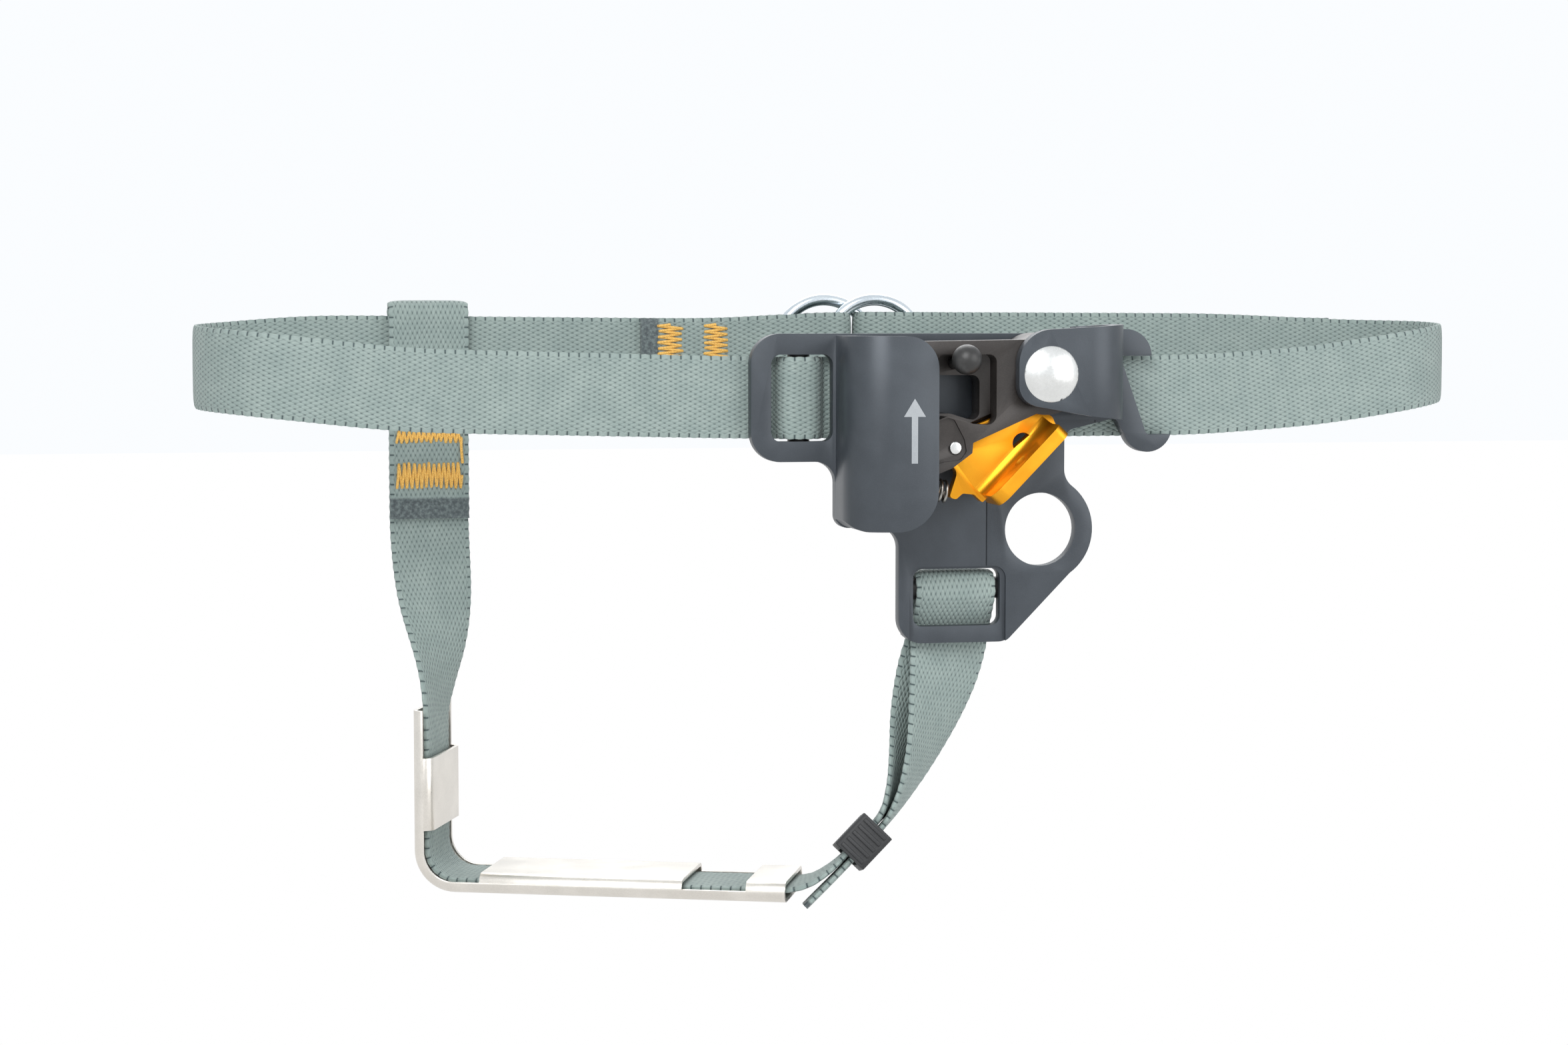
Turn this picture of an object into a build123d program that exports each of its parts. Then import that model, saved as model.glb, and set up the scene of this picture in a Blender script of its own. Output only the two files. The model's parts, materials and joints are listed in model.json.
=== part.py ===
from build123d import *
import math
import os

# Foot ascender with an ankle belt and an under-foot stirrup.
# Millimetres. X runs across the frame plate, Z runs up along the rope and Y runs from the
# open front of the rope channel to its back. The origin is on the rope axis, at half the
# height of the channel.

# ---- frame extrusion --------------------------------------------------------------------
plate_front_y = 7.0
plate_thickness = 3.4
channel_inner_radius = 7.0
channel_wall = 3.2
channel_top_z = 23.4
channel_bottom_z = -21.9
channel_corner = 5.5
lip_edge_x = 10.4
lip_top_corner = 7.5
lip_bottom_corner = 9.5

tab_left_x = -30.5
tab_top_z = 23.9
tab_bottom_z = -6.2
tab_corner = 7.0
tab_slot_left_x = -25.7
tab_slot_width = 14.8
tab_slot_bottom_z = -1.4
tab_slot_height = 20.4
tab_slot_corner = 2.3

plate_left_x = 5.2
plate_bottom_z = -49.8
plate_corner = 6.0
lower_slot_left_x = 9.0
lower_slot_width = 21.4
lower_slot_bottom_z = -45.8
lower_slot_height = 13.7
lower_slot_corner = 2.2
lower_zone_margin = 1.2
lower_zone_depth = 1.3
lower_zone_corner = 3.0
lower_bar_drop = 5.0
crease_x = 26.7
crease_depth = 0.35
crease_groove = 0.4

eye_x = 40.1
eye_z = -22.9
eye_radius = 8.75
eye_wall = 4.2
neck_x = 46.0

hook_top_z = 24.9
hook_prong_x = 67.6
hook_prong_corner = 6.5
hook_mouth_top_z = 18.5
hook_mouth_bottom_z = -0.4
hook_bar_top_x = 59.7
hook_bar_bottom_x = 66.4
hook_lobe_x = 66.7
hook_lobe_z = 1.5
hook_lobe_radius = 6.1

bracket_left_x = 29.6
bracket_top_z = 26.1
bracket_fold_x = 47.4

# ---- cam and its pivot ------------------------------------------------------------------
pivot_x = 37.4
pivot_z = 14.5
pivot_shaft_radius = 4.0
pivot_head_radius = 6.6
pivot_head_height = 2.2
running_clearance = 0.06
washer_thickness = 0.7
washer_radius = 7.5
washer_clearance = 0.05
cam_side_clearance = 0.1
cam_boss_radius = 9.6
cam_spiral_radius = 36.4
cam_spiral_rate = 0.33
cam_ledge_drop = 5.6
tooth_radius = 0.8
tooth_height = 1.4

spring_wire = 0.9
spring_turns = 3
spring_mean_radius = 5.4
spring_pocket_radius = 6.3
spring_pocket_depth = spring_turns * (spring_wire + 0.05) + spring_wire + 0.6

# ---- trigger ----------------------------------------------------------------------------
trigger_x = 15.6
trigger_z = -2.7
trigger_pin_radius = 1.6
trigger_thickness = 3.1
trigger_front_y = -1.0
trigger_flange_front_y = -10.2
trigger_bend_radius = 2.5
trigger_slot_clearance = 0.3
coil_wire = 0.7
coil_mean_radius = 2.4
coil_turns = 6
coil_length = 8.2

# ---- knob -------------------------------------------------------------------------------
knob_x = 16.5
knob_z = 18.0
knob_y = -12.0
knob_radius = 3.5
stem_radius = 1.5

# ---- webbing ----------------------------------------------------------------------------
webbing_width = 19.4
webbing_thickness = 1.8
webbing_gap = 0.3
layer_gap = 0.15
belt_front_y = 11.9
belt_front_z = 8.8
belt_back_y = 57.0
belt_left_x = -157.2
belt_right_x = 151.2
belt_ring_z = 19.4
lock_bar_radius = 2.6
tab_bar_y = 11.2
lower_bar_y = 12.6

# ---- rings ------------------------------------------------------------------------------
ring_wire_radius = 1.5
ring_inner_radius = 10.2
ring_rear_x = -1.4
ring_front_x = 10.8
ring_z = 20.4
ring_clearance = 0.35

# ---- stirrup ----------------------------------------------------------------------------
stirrup_left_x = -101.0
sole_yaw = 21.5
sole_corner_x = -102.8
sole_corner_y = 50.0
sole_bottom_z = -110.6
sole_arm_top_z = -66.6
sole_length = 90.9
sole_depth = 26.0
sole_thickness = 5.0
sole_wall = 0.9
sole_bend_radius = 7.5

keeper_length = 10.0
keeper_wall = 2.0
keeper_travel = 4.0
keeper_centre = Vector(-1.7, 15.5, -98.4)
keeper_tangent = Vector(-0.706, 0, -0.708)
stirrup_right_x = lower_slot_left_x + lower_slot_width / 2
tail_layer_y = plate_front_y + plate_thickness + lower_zone_depth + 1.7


def vec(*numbers):
    return Vector(*numbers)


def front_prism(points, radii, near_y, far_y):
    """Solid with a rounded front outline of (x, z) points, between two depths."""
    outline = FilletPolyline(*[(x, z) for x, z in points], radius=radii, close=True)
    plane = Plane(origin=(0, far_y, 0), x_dir=(1, 0, 0), z_dir=(0, -1, 0))
    return extrude(plane * make_face(outline), amount=far_y - near_y)


def front_disc(x, z, radius, near_y, far_y):
    """Round boss or hole about an axis along Y."""
    plane = Plane(origin=(x, far_y, z), x_dir=(1, 0, 0), z_dir=(0, -1, 0))
    return extrude(plane * Circle(radius), amount=far_y - near_y)


def plan_prism(points, radii, low_z, high_z):
    """Solid with a rounded plan outline of (x, y) points, between two heights."""
    outline = FilletPolyline(*points, radius=radii, close=True)
    return extrude(Plane.XY.offset(low_z) * make_face(outline), amount=high_z - low_z)


def box_between(low, high):
    """Plain box from its lowest to its highest corner."""
    size = [b - a for a, b in zip(low, high)]
    middle = [(a + b) / 2 for a, b in zip(low, high)]
    return Pos(*middle) * Box(*size)


def strip_face(points, radii, thickness):
    """Face of a strip of even thickness whose middle line has rounded corners."""
    middle = FilletPolyline(*points, radius=radii)
    return trace(middle, line_width=thickness)


# ---- frame ------------------------------------------------------------------------------
plate_back_y = plate_front_y + plate_thickness
channel_outer_radius = channel_inner_radius + channel_wall
lip_front_y = -channel_outer_radius


def channel_profile(sign, centre_x, edge_x):
    """Plan outline of a half-round fold that opens away from its closed side."""
    inner = channel_inner_radius
    outer = channel_outer_radius
    closed_x = centre_x - sign * outer
    fold = Line((edge_x, -outer), (centre_x, -outer))
    fold += CenterArc((centre_x, 0), outer, 270, -90 * sign)
    fold += Line((closed_x, 0), (closed_x, plate_front_y + 1))
    fold += Line((closed_x, plate_front_y + 1), (centre_x, plate_front_y + 1))
    fold += Line((centre_x, plate_front_y + 1), (centre_x, inner))
    fold += CenterArc((centre_x, 0), inner, 90, 180 * sign)
    fold += Line((centre_x, -inner), (edge_x, -inner))
    fold += Line((edge_x, -inner), (edge_x, -outer))
    return make_face(fold)


def rope_channel():
    """Fold that holds the rope, with a rounded lip in front."""
    height = channel_top_z - channel_bottom_z
    fold = extrude(Plane.XY.offset(channel_bottom_z) * channel_profile(1, 0, lip_edge_x), amount=height)
    left_x = -channel_outer_radius - 1
    mask = front_prism(
        [
            (left_x, channel_bottom_z),
            (lip_edge_x, channel_bottom_z),
            (lip_edge_x, channel_top_z),
            (left_x, channel_top_z),
        ],
        [channel_corner, lip_bottom_corner, lip_top_corner, 0.6],
        lip_front_y - 1,
        plate_front_y + 2,
    )
    return fold & mask


def bracket():
    """Fold on the right that carries the front end of the pivot."""
    fold_right = bracket_fold_x + channel_outer_radius
    low_z = 0.0
    fold = extrude(
        Plane.XY.offset(low_z) * channel_profile(-1, bracket_fold_x, bracket_left_x),
        amount=bracket_top_z - low_z,
    )
    mask = front_prism(
        [
            (bracket_left_x, 8.6),
            (33.6, 7.0),
            (bracket_fold_x, 4.6),
            (fold_right + 1, 3.4),
            (fold_right + 1, bracket_top_z),
            (bracket_left_x, bracket_top_z - 1.6),
        ],
        [5.0, 3.0, 0.5, 0.5, 1.0, 8.0],
        lip_front_y - 1,
        plate_front_y + 2,
    )
    return fold & mask


def plate():
    """Back plate with the belt tab, the lower end, the eye and the belt hook."""
    fold_right = bracket_fold_x + channel_outer_radius
    outline = [
        (tab_left_x, tab_top_z),
        (tab_left_x, tab_bottom_z),
        (-channel_outer_radius, tab_bottom_z),
        (-channel_outer_radius, channel_bottom_z),
        (plate_left_x, channel_bottom_z),
        (plate_left_x, plate_bottom_z),
        (31.6, plate_bottom_z),
        (49.2, -31.8),
        (eye_x, eye_z),
        (neck_x, -16.0),
        (neck_x, 0.6),
        (fold_right, 3.4),
        (fold_right + 1.2, 3.4),
        (hook_lobe_x - hook_lobe_radius, hook_lobe_z - 1.4),
        (hook_lobe_x, hook_lobe_z),
        (hook_prong_x, hook_lobe_z),
        (hook_prong_x, hook_top_z),
        (fold_right, hook_top_z),
        (fold_right, tab_top_z),
    ]
    radii = [
        tab_corner, tab_corner, 5.0, 3.0, 5.0, plate_corner, 3.5, 0, 0, 0, 3.0,
        0, 1.2, 0, 0, 0, hook_prong_corner, 0.4, 0.3,
    ]
    body = front_prism(outline, radii, plate_front_y, plate_back_y)
    body += front_disc(eye_x, eye_z, eye_radius + eye_wall, plate_front_y, plate_back_y)
    neck_z = eye_z + math.sqrt((eye_radius + eye_wall) ** 2 - (neck_x - eye_x) ** 2)
    neck = vec(neck_x, plate_front_y + plate_thickness / 2, neck_z)
    body = fillet(body.edges().filter_by(Axis.Y).sort_by_distance(neck)[0], 5.0)
    body += front_disc(hook_lobe_x, hook_lobe_z, hook_lobe_radius, plate_front_y, plate_back_y)
    body -= front_prism(
        [
            (hook_bar_top_x, hook_mouth_top_z),
            (hook_bar_bottom_x, hook_mouth_bottom_z),
            (hook_lobe_x + 12, hook_mouth_bottom_z),
            (hook_lobe_x + 12, hook_mouth_top_z),
        ],
        [0.6, 1.2, 0.1, 0.1],
        plate_front_y - 1,
        plate_back_y + 1,
    )
    return body


def lower_zone():
    """Set-back field round the lower slot: what is cut in front and added behind."""
    left = lower_slot_left_x - lower_zone_margin
    right = lower_slot_left_x + lower_slot_width + lower_zone_margin
    top = lower_slot_bottom_z + lower_slot_height
    front = front_prism(
        [(left, plate_bottom_z - 5), (right, plate_bottom_z - 5), (right, top + 0.6), (left, top + 0.6)],
        [0.5, 0.5, lower_zone_corner, lower_zone_corner],
        plate_front_y - 1,
        plate_front_y + lower_zone_depth,
    )
    behind = box_between(
        (left - 1, plate_back_y - 0.5, plate_bottom_z),
        (right + 1, plate_back_y + lower_zone_depth, top + 2.5),
    )
    return front, behind


def slot(left_x, bottom_z, width, height, corner):
    """Rounded slot right through the plate."""
    points = [
        (left_x, bottom_z),
        (left_x + width, bottom_z),
        (left_x + width, bottom_z + height),
        (left_x, bottom_z + height),
    ]
    return front_prism(points, [corner] * 4, plate_front_y - 2, plate_back_y + 4)


def lock_bars():
    """Round bars behind the two slots, which the webbing goes round."""
    tab_x = tab_slot_left_x + tab_slot_width / 2
    tab_low = tab_slot_bottom_z - 2.6
    tab_length = tab_slot_height + 5.2
    tab_bar = Pos(tab_x, tab_bar_y, tab_low) * Cylinder(
        lock_bar_radius, tab_length, align=(Align.CENTER, Align.CENTER, Align.MIN)
    )
    lower_z = lower_slot_bottom_z + lower_slot_height - lower_bar_drop
    lower_plane = Plane(origin=(lower_slot_left_x - 2.6, lower_bar_y, lower_z), z_dir=(1, 0, 0))
    lower_bar = extrude(lower_plane * Circle(lock_bar_radius), amount=lower_slot_width + 5.2)
    return tab_bar, lower_bar


def frame_body():
    """The whole extrusion with its slots, eye, pivot bore and bar seats."""
    front_field, rear_field = lower_zone()
    tab_bar, lower_bar = lock_bars()
    body = plate() + rope_channel() + bracket()
    crease = box_between((crease_x, plate_front_y - 1, -52), (53.6, plate_front_y + crease_depth, 3.2))
    body -= crease
    groove_low = lower_slot_bottom_z + lower_slot_height + 0.6
    body -= box_between(
        (crease_x - crease_groove / 2, plate_front_y - 1, groove_low),
        (crease_x + crease_groove / 2, plate_front_y + 2 * crease_depth, 3.2),
    )
    body += rear_field & front_prism(
        [
            (plate_left_x, plate_bottom_z),
            (31.6, plate_bottom_z),
            (38.0, -43.0),
            (38.0, -20.0),
            (plate_left_x, -20.0),
        ],
        [plate_corner, 3.5, 1.0, 1.0, 1.0],
        plate_front_y,
        plate_back_y + lower_zone_depth,
    )
    body -= front_field
    body -= slot(tab_slot_left_x, tab_slot_bottom_z, tab_slot_width, tab_slot_height, tab_slot_corner)
    body -= slot(
        lower_slot_left_x, lower_slot_bottom_z, lower_slot_width,
        lower_slot_height, lower_slot_corner,
    )
    body -= front_disc(eye_x, eye_z, eye_radius, plate_front_y - 2, plate_back_y + 3)
    body -= front_disc(pivot_x, pivot_z, pivot_shaft_radius + 0.02, lip_front_y - 2, plate_back_y + 2)
    body -= pivot_flare(0.02)
    body -= tab_bar
    body -= lower_bar
    return body


# ---- pivot ------------------------------------------------------------------------------
cam_front_y = -channel_inner_radius + washer_thickness + 2 * washer_clearance + cam_side_clearance
cam_back_y = plate_front_y - washer_thickness - 2 * washer_clearance - cam_side_clearance


def pivot_flare(clearance):
    """Countersunk rear end of the rivet, flush with the plate's back."""
    depth = plate_thickness * 0.5
    plane = Plane(origin=(pivot_x, plate_back_y, pivot_z), x_dir=(1, 0, 0), z_dir=(0, -1, 0))
    top = pivot_shaft_radius + depth + clearance
    cone = Cone(top, pivot_shaft_radius + clearance, depth, align=(Align.CENTER, Align.CENTER, Align.MIN))
    return plane * cone


def pivot_rivet():
    """Shouldered rivet with a domed head in front and a low formed head behind."""
    shaft = front_disc(pivot_x, pivot_z, pivot_shaft_radius, lip_front_y, plate_back_y)
    dome_radius = (pivot_head_radius**2 + pivot_head_height**2) / (2 * pivot_head_height)
    dome_centre_y = lip_front_y - pivot_head_height + dome_radius
    dome = Pos(pivot_x, dome_centre_y, pivot_z) * Sphere(dome_radius)
    head = dome & front_disc(pivot_x, pivot_z, pivot_head_radius, lip_front_y - 3, lip_front_y)
    return head + shaft + pivot_flare(0.0)


def pivot_washer(near_y):
    """Thin washer that keeps the cam off the frame."""
    bore = pivot_shaft_radius + running_clearance
    disc = front_disc(pivot_x, pivot_z, washer_radius, near_y, near_y + washer_thickness)
    return disc - front_disc(pivot_x, pivot_z, bore, near_y - 1, near_y + washer_thickness + 1)


# ---- cam --------------------------------------------------------------------------------
def cam_face_point(degrees, extra=0.0):
    """Point of the spiral face that grips the rope, measured downwards from level."""
    angle = math.radians(degrees)
    radius = cam_spiral_radius * math.exp(cam_spiral_rate * angle) + extra
    return (pivot_x - radius * math.cos(angle), pivot_z - radius * math.sin(angle))


def cam_blank():
    """Full outline of the cam, as thick as the gap between the washers."""
    face = Spline(*[cam_face_point(a) for a in (-13, -4, 5, 14, 23, 32, 39)])
    start = face @ 0
    end = face @ 1
    rest = Polyline(
        (end.X, end.Y),
        (6.9, -15.4),
        (8.2, -9.9),
        (10.9, -8.9),
        (14.7, -7.4),
        (19.5, -3.9),
        (19.7, -1.5),
        (35.3, 5.3),
        (pivot_x, pivot_z - cam_boss_radius),
        (pivot_x + cam_boss_radius, pivot_z),
        (pivot_x, 22.6),
        (start.X, start.Y),
    )
    plane = Plane(origin=(0, cam_back_y, 0), x_dir=(1, 0, 0), z_dir=(0, -1, 0))
    blank = extrude(plane * make_face(face + rest), amount=cam_back_y - cam_front_y)
    return blank + front_disc(pivot_x, pivot_z, cam_boss_radius, cam_front_y, cam_back_y)


def cam_teeth():
    """Rows of short spikes on the gripping face."""
    teeth = []
    for row in range(9):
        degrees = -6 + 4.6 * row
        angle = math.radians(degrees)
        for column in range(3):
            y = -3.6 + 3.6 * column + (0.9 if row % 2 else -0.9)
            x, z = cam_face_point(degrees, -0.3)
            plane = Plane(origin=(x, y, z), z_dir=(-math.cos(angle), 0, -math.sin(angle)))
            spike = Cone(tooth_radius, 0.12, tooth_height, align=(Align.CENTER, Align.CENTER, Align.MIN))
            teeth.append(plane * spike)
    return teeth


def cam():
    """Toothed cam with its front pocket, window, trigger slot, lug pocket and spring pocket."""
    body = cam_blank()
    pocket = front_prism(
        [
            (8.2, 14.6),
            (12.0, 19.1),
            (25.3, 19.1),
            (25.3, 2.6),
            (19.8, 2.9),
            (15.6, 4.3),
            (13.4, 4.7),
            (8.2, 2.6),
        ],
        [1.5, 1.5, 1.8, 2.2, 1.5, 1.0, 1.0, 1.0],
        cam_front_y - 1,
        cam_front_y + cam_ledge_drop,
    )
    window = front_prism(
        [(9.4, 14.2), (22.7, 14.2), (22.7, 3.4), (19.8, 3.9), (15.6, 5.2), (9.4, 5.2)],
        [1.5, 1.8, 1.8, 1.2, 1.0, 1.5],
        cam_front_y - 1,
        cam_back_y + 1,
    )
    lug_pocket = front_prism(
        [
            (6.0, -7.6),
            (13.0, -5.9),
            (16.6, -5.6),
            (18.2, -3.6),
            (17.6, -0.6),
            (15.2, 3.9),
            (13.6, 4.4),
            (6.0, 2.2),
        ],
        [0.8, 1.5, 1.5, 1.2, 1.5, 1.0, 0.8, 0.8],
        cam_front_y - 1,
        cam_front_y + 0.9,
    )
    trigger_back_y = trigger_front_y + trigger_thickness
    trigger_slot = front_prism(
        [(9.6, -12.0), (10.6, -2.0), (13.6, 1.9), (18.6, 2.2), (36.0, 9.6), (42.5, 4.0), (30.0, -12.0)],
        [0.5, 2.0, 2.0, 2.0, 0.5, 0.5, 0.5],
        trigger_front_y - trigger_slot_clearance,
        trigger_back_y + trigger_slot_clearance,
    )
    body -= pocket
    body -= window
    body -= lug_pocket
    body -= trigger_slot
    shaft_hole = pivot_shaft_radius + running_clearance
    body -= front_disc(pivot_x, pivot_z, shaft_hole, cam_front_y - 1, cam_back_y + 1)
    pocket_y = cam_back_y - spring_pocket_depth
    body -= front_disc(pivot_x, pivot_z, spring_pocket_radius, pocket_y, cam_back_y + 1)
    body -= front_disc(trigger_x, trigger_z, trigger_pin_radius + 0.01, cam_front_y - 2, cam_back_y + 1)
    body -= front_disc(knob_x, knob_z - 0.9, stem_radius + 0.01, cam_front_y - 1, cam_back_y - 1.5)
    body -= coil_seat()
    for tooth in cam_teeth():
        body += tooth
    return body


# ---- springs ----------------------------------------------------------------------------
coil_axis_angle = math.radians(12.0)
coil_start_x = 7.4
coil_start_z = -11.6
coil_middle_y = trigger_front_y + trigger_thickness / 2


def coil_plane():
    """Plane across the coil's left end, with its normal along the coil."""
    direction = (math.cos(coil_axis_angle), 0, -math.sin(coil_axis_angle))
    return Plane(origin=(coil_start_x, coil_middle_y, coil_start_z), x_dir=(0, 1, 0), z_dir=direction)


def coil_seat():
    """Blind seat in the cam's heel for the coil's left end."""
    seat_radius = coil_mean_radius + coil_wire / 2 + 0.25
    seat = Cylinder(seat_radius, 3.0, align=(Align.CENTER, Align.CENTER, Align.MIN))
    return coil_plane() * seat


def coil_spring(mean_radius, wire, turns, length):
    """Helical wire along +Z from the origin."""
    helix = Helix(pitch=length / turns, height=length, radius=mean_radius)
    section = Plane(origin=helix @ 0, z_dir=helix % 0) * Circle(wire / 2)
    return sweep(section, path=helix, is_frenet=True)


def trigger_spring():
    """Compression spring between the cam's heel and the trigger's foot."""
    wire = coil_wire / 2
    body = coil_spring(coil_mean_radius, coil_wire, coil_turns, coil_length - coil_wire)
    return coil_plane() * Pos(0, 0, wire + 0.05) * body


def cam_spring():
    """Torsion coil round the pivot, inside the cam's back pocket."""
    length = spring_turns * (spring_wire + 0.05)
    origin = (pivot_x, cam_back_y - spring_wire / 2 - 0.25, pivot_z)
    plane = Plane(origin=origin, x_dir=(1, 0, 0), z_dir=(0, -1, 0))
    return plane * coil_spring(spring_mean_radius, spring_wire, spring_turns, length)


# ---- trigger ----------------------------------------------------------------------------
def trigger_bend(start, along, outward, length):
    """Concave bend between the lever's base and its flange."""
    radius = trigger_bend_radius
    plane = Plane(
        origin=(start.X, trigger_front_y, start.Y),
        x_dir=(-outward.X, 0, -outward.Y),
        z_dir=(along.X, 0, along.Y),
    )
    corner = Pos(-0.2, -0.2) * Rectangle(radius + 0.1, radius + 0.1, align=(Align.MIN, Align.MIN))
    return extrude(plane * (corner - Pos(radius, radius) * Circle(radius)), amount=length)


def trigger_lever():
    """Bent plate: a flat base in the cam's slot and a thumb flange across its lower edge."""
    back_y = trigger_front_y + trigger_thickness
    base = front_prism(
        [
            (12.2, -2.4),
            (13.4, 0.9),
            (18.2, 1.1),
            (34.2, 7.2),
            (40.4, 4.4),
            (41.6, 1.6),
            (23.4, -15.8),
            (21.4, -13.9),
            (18.6, -13.6),
            (17.0, -15.0),
            (15.4, -14.5),
            (17.3, -8.6),
        ],
        [2.6, 2.4, 2.0, 1.5, 2.0, 0.4, 0.4, 0.6, 0.9, 0.9, 0.7, 2.0],
        trigger_front_y,
        back_y,
    )
    start = vec(23.3, -14.0)
    along = (vec(39.7, 2.8) - start).normalized()
    outward = vec(along.Y, -along.X)
    length = 23.5
    corners = [start, start + along * length]
    corners += [corners[1] + outward * trigger_thickness, start + outward * trigger_thickness]
    flange = front_prism(
        [(c.X, c.Y) for c in corners],
        [0.2] * 4,
        trigger_flange_front_y,
        back_y,
    )
    middle = start + along * (length / 2)
    side = Plane(
        origin=(middle.X, back_y, middle.Y),
        x_dir=(along.X, 0, along.Y),
        z_dir=(outward.X, 0, outward.Y),
    )
    height = back_y - trigger_flange_front_y
    rounded = side * make_face(
        FilletPolyline(
            (-length / 2, 0),
            (length / 2, 0),
            (length / 2, height),
            (-length / 2, height),
            radius=[0.3, 0.3, 2.2, 3.2],
            close=True,
        )
    )
    mask = extrude(rounded, amount=6, both=True)
    flange = flange & mask
    hole_plane = Plane(origin=(31.4, -5.6, -5.6), z_dir=(outward.X, 0, outward.Y))
    flange_hole = extrude(hole_plane * Circle(1.9), amount=8, both=True)
    lever = base + flange
    lever += trigger_bend(start, along, outward, length)
    lever -= flange_hole & box_between((20, -9, -20), (50, trigger_front_y - 0.3, 10))
    lever -= front_disc(33.2, -1.9, 2.5, trigger_front_y - 3, back_y + 1) & front_prism(
        [(20, -12), (41, 5), (41, 12), (20, 12)], [0.1] * 4, trigger_front_y - 4, back_y + 2
    )
    pin_hole = trigger_pin_radius + running_clearance
    lever -= front_disc(trigger_x, trigger_z, pin_hole, trigger_front_y - 2, back_y + 2)
    return lever


def trigger_pin():
    """Rivet that the trigger turns on, flush with the cam's two cheeks."""
    body = front_disc(trigger_x, trigger_z, trigger_pin_radius, cam_front_y + 0.35, cam_back_y - 0.1)
    rim = body.edges().filter_by(GeomType.CIRCLE).sort_by(Axis.Y)[0]
    return chamfer(rim, 0.3)


# ---- knob -------------------------------------------------------------------------------
def knob_stem():
    """Stem pressed into the cam."""
    return front_disc(knob_x, knob_z - 0.9, stem_radius, knob_y, cam_front_y + cam_ledge_drop + 3.0)


def cam_knob():
    """Ball on the stem."""
    ball = Pos(knob_x, knob_y, knob_z) * Sphere(knob_radius)
    return ball - front_disc(knob_x, knob_z - 0.9, stem_radius, knob_y, cam_front_y + 4)


# ---- belt -------------------------------------------------------------------------------
pocket_gap = 4 * ring_wire_radius + 0.7
ring_meet_x = 5.3


def belt_line():
    """Plan points and corner radii of the belt's middle line, from its sewn end to its tail."""
    layer = webbing_thickness + layer_gap
    half_pocket = (pocket_gap + webbing_thickness) / 2
    tab_x = tab_slot_left_x + tab_slot_width / 2
    wrap = lock_bar_radius + webbing_gap + webbing_thickness / 2
    wrap_y = tab_bar_y - wrap
    outer = belt_back_y + layer / 2
    inner = belt_back_y - layer / 2
    left_turn = ring_meet_x - layer_gap - webbing_thickness / 2
    right_turn = ring_meet_x + layer_gap + webbing_thickness / 2
    near = belt_back_y - half_pocket
    far = belt_back_y + half_pocket
    points = [
        (-48.5, inner),
        (-24.0, inner),
        (-16.0, near),
        (left_turn, near),
        (left_turn, far),
        (-16.0, far),
        (-24.0, outer),
        (belt_left_x, outer),
        (belt_left_x, belt_front_y),
        (tab_x - wrap - 1.6, belt_front_y),
        (tab_x - wrap + 0.2, wrap_y),
        (tab_x + wrap - 0.2, wrap_y),
        (tab_x + wrap + 1.6, belt_front_y),
        (belt_right_x, belt_front_y),
        (belt_right_x, inner),
        (33.0, inner),
        (25.0, near),
        (right_turn, near),
        (right_turn, far),
        (25.0, far),
        (33.0, outer + 0.2),
        (133.0, outer + 0.2),
    ]
    turn = half_pocket - 0.05
    radii = [
        9, 9, turn, turn, 9, 9, 21, 22, 1.4, 3.3, 3.3, 1.4, 22, 21, 9, 9, turn, turn, 9, 9,
    ]
    return points, radii


def height_slab(points, radii, near_y, far_y):
    """Slab whose middle height follows (x, z) points, one webbing width high."""
    half = webbing_width / 2
    upper = [(x, z + half) for x, z in points]
    lower = [(x, z - half) for x, z in reversed(points)]
    corner = [0.0] + radii + [0.0]
    return front_prism(upper + lower, corner + corner[::-1], near_y, far_y)


def belt_webbing():
    """The belt: one webbing from the sewn fold, round the ankle and back to its free tail."""
    points, radii = belt_line()
    tall = extrude(Plane.XY.offset(-20) * strip_face(points, radii, webbing_thickness), amount=70)
    middle_y = (belt_front_y + belt_back_y) / 2
    end_z = 16.2
    front = height_slab(
        [
            (-162, end_z),
            (-150, end_z - 0.8),
            (-110, 10.9),
            (-30, belt_front_z),
            (80, belt_front_z),
            (112, 11.0),
            (146, end_z),
            (156, end_z),
        ],
        [20, 60, 90, 60, 60, 20],
        -5,
        middle_y,
    )
    back = height_slab(
        [
            (-162, end_z),
            (-150, end_z + 0.6),
            (-130, 18.6),
            (-30, 17.7),
            (0, belt_ring_z),
            (100, 19.0),
            (140, 17.2),
            (156, end_z),
        ],
        [10, 40, 60, 60, 60, 10],
        middle_y,
        80,
    )
    belt = (tall & front) + (tall & back)
    for x, y, _ in ring_places():
        belt -= ring(x, y, ring_wire_radius + ring_clearance)
    return belt.solids().sort_by(SortBy.VOLUME)[-1]


def belt_bartacks():
    """Two bars of stitching through the belt's sewn end."""
    layer = webbing_thickness + layer_gap
    near_y = belt_back_y - layer / 2 - webbing_thickness / 2
    bars = []
    for low_x, high_x in ((-44.4, -38.0), (-32.6, -26.8)):
        bars.append(box_between((low_x, near_y - 0.35, 17.9 - 7.6), (high_x, near_y, 17.9 + 7.6)))
    return bars


# ---- rings ------------------------------------------------------------------------------
def ring_places():
    """Centres of the rear and the front ring."""
    step = ring_wire_radius + 0.15
    return [(ring_rear_x, belt_back_y + step, "rear"), (ring_front_x, belt_back_y - step, "front")]


def ring(x, y, wire):
    """Round ring about an axis along Y."""
    middle = ring_inner_radius + ring_wire_radius
    plane = Plane(origin=(x, y, ring_z), z_dir=(0, 1, 0))
    return plane * Torus(middle, wire)


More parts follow.
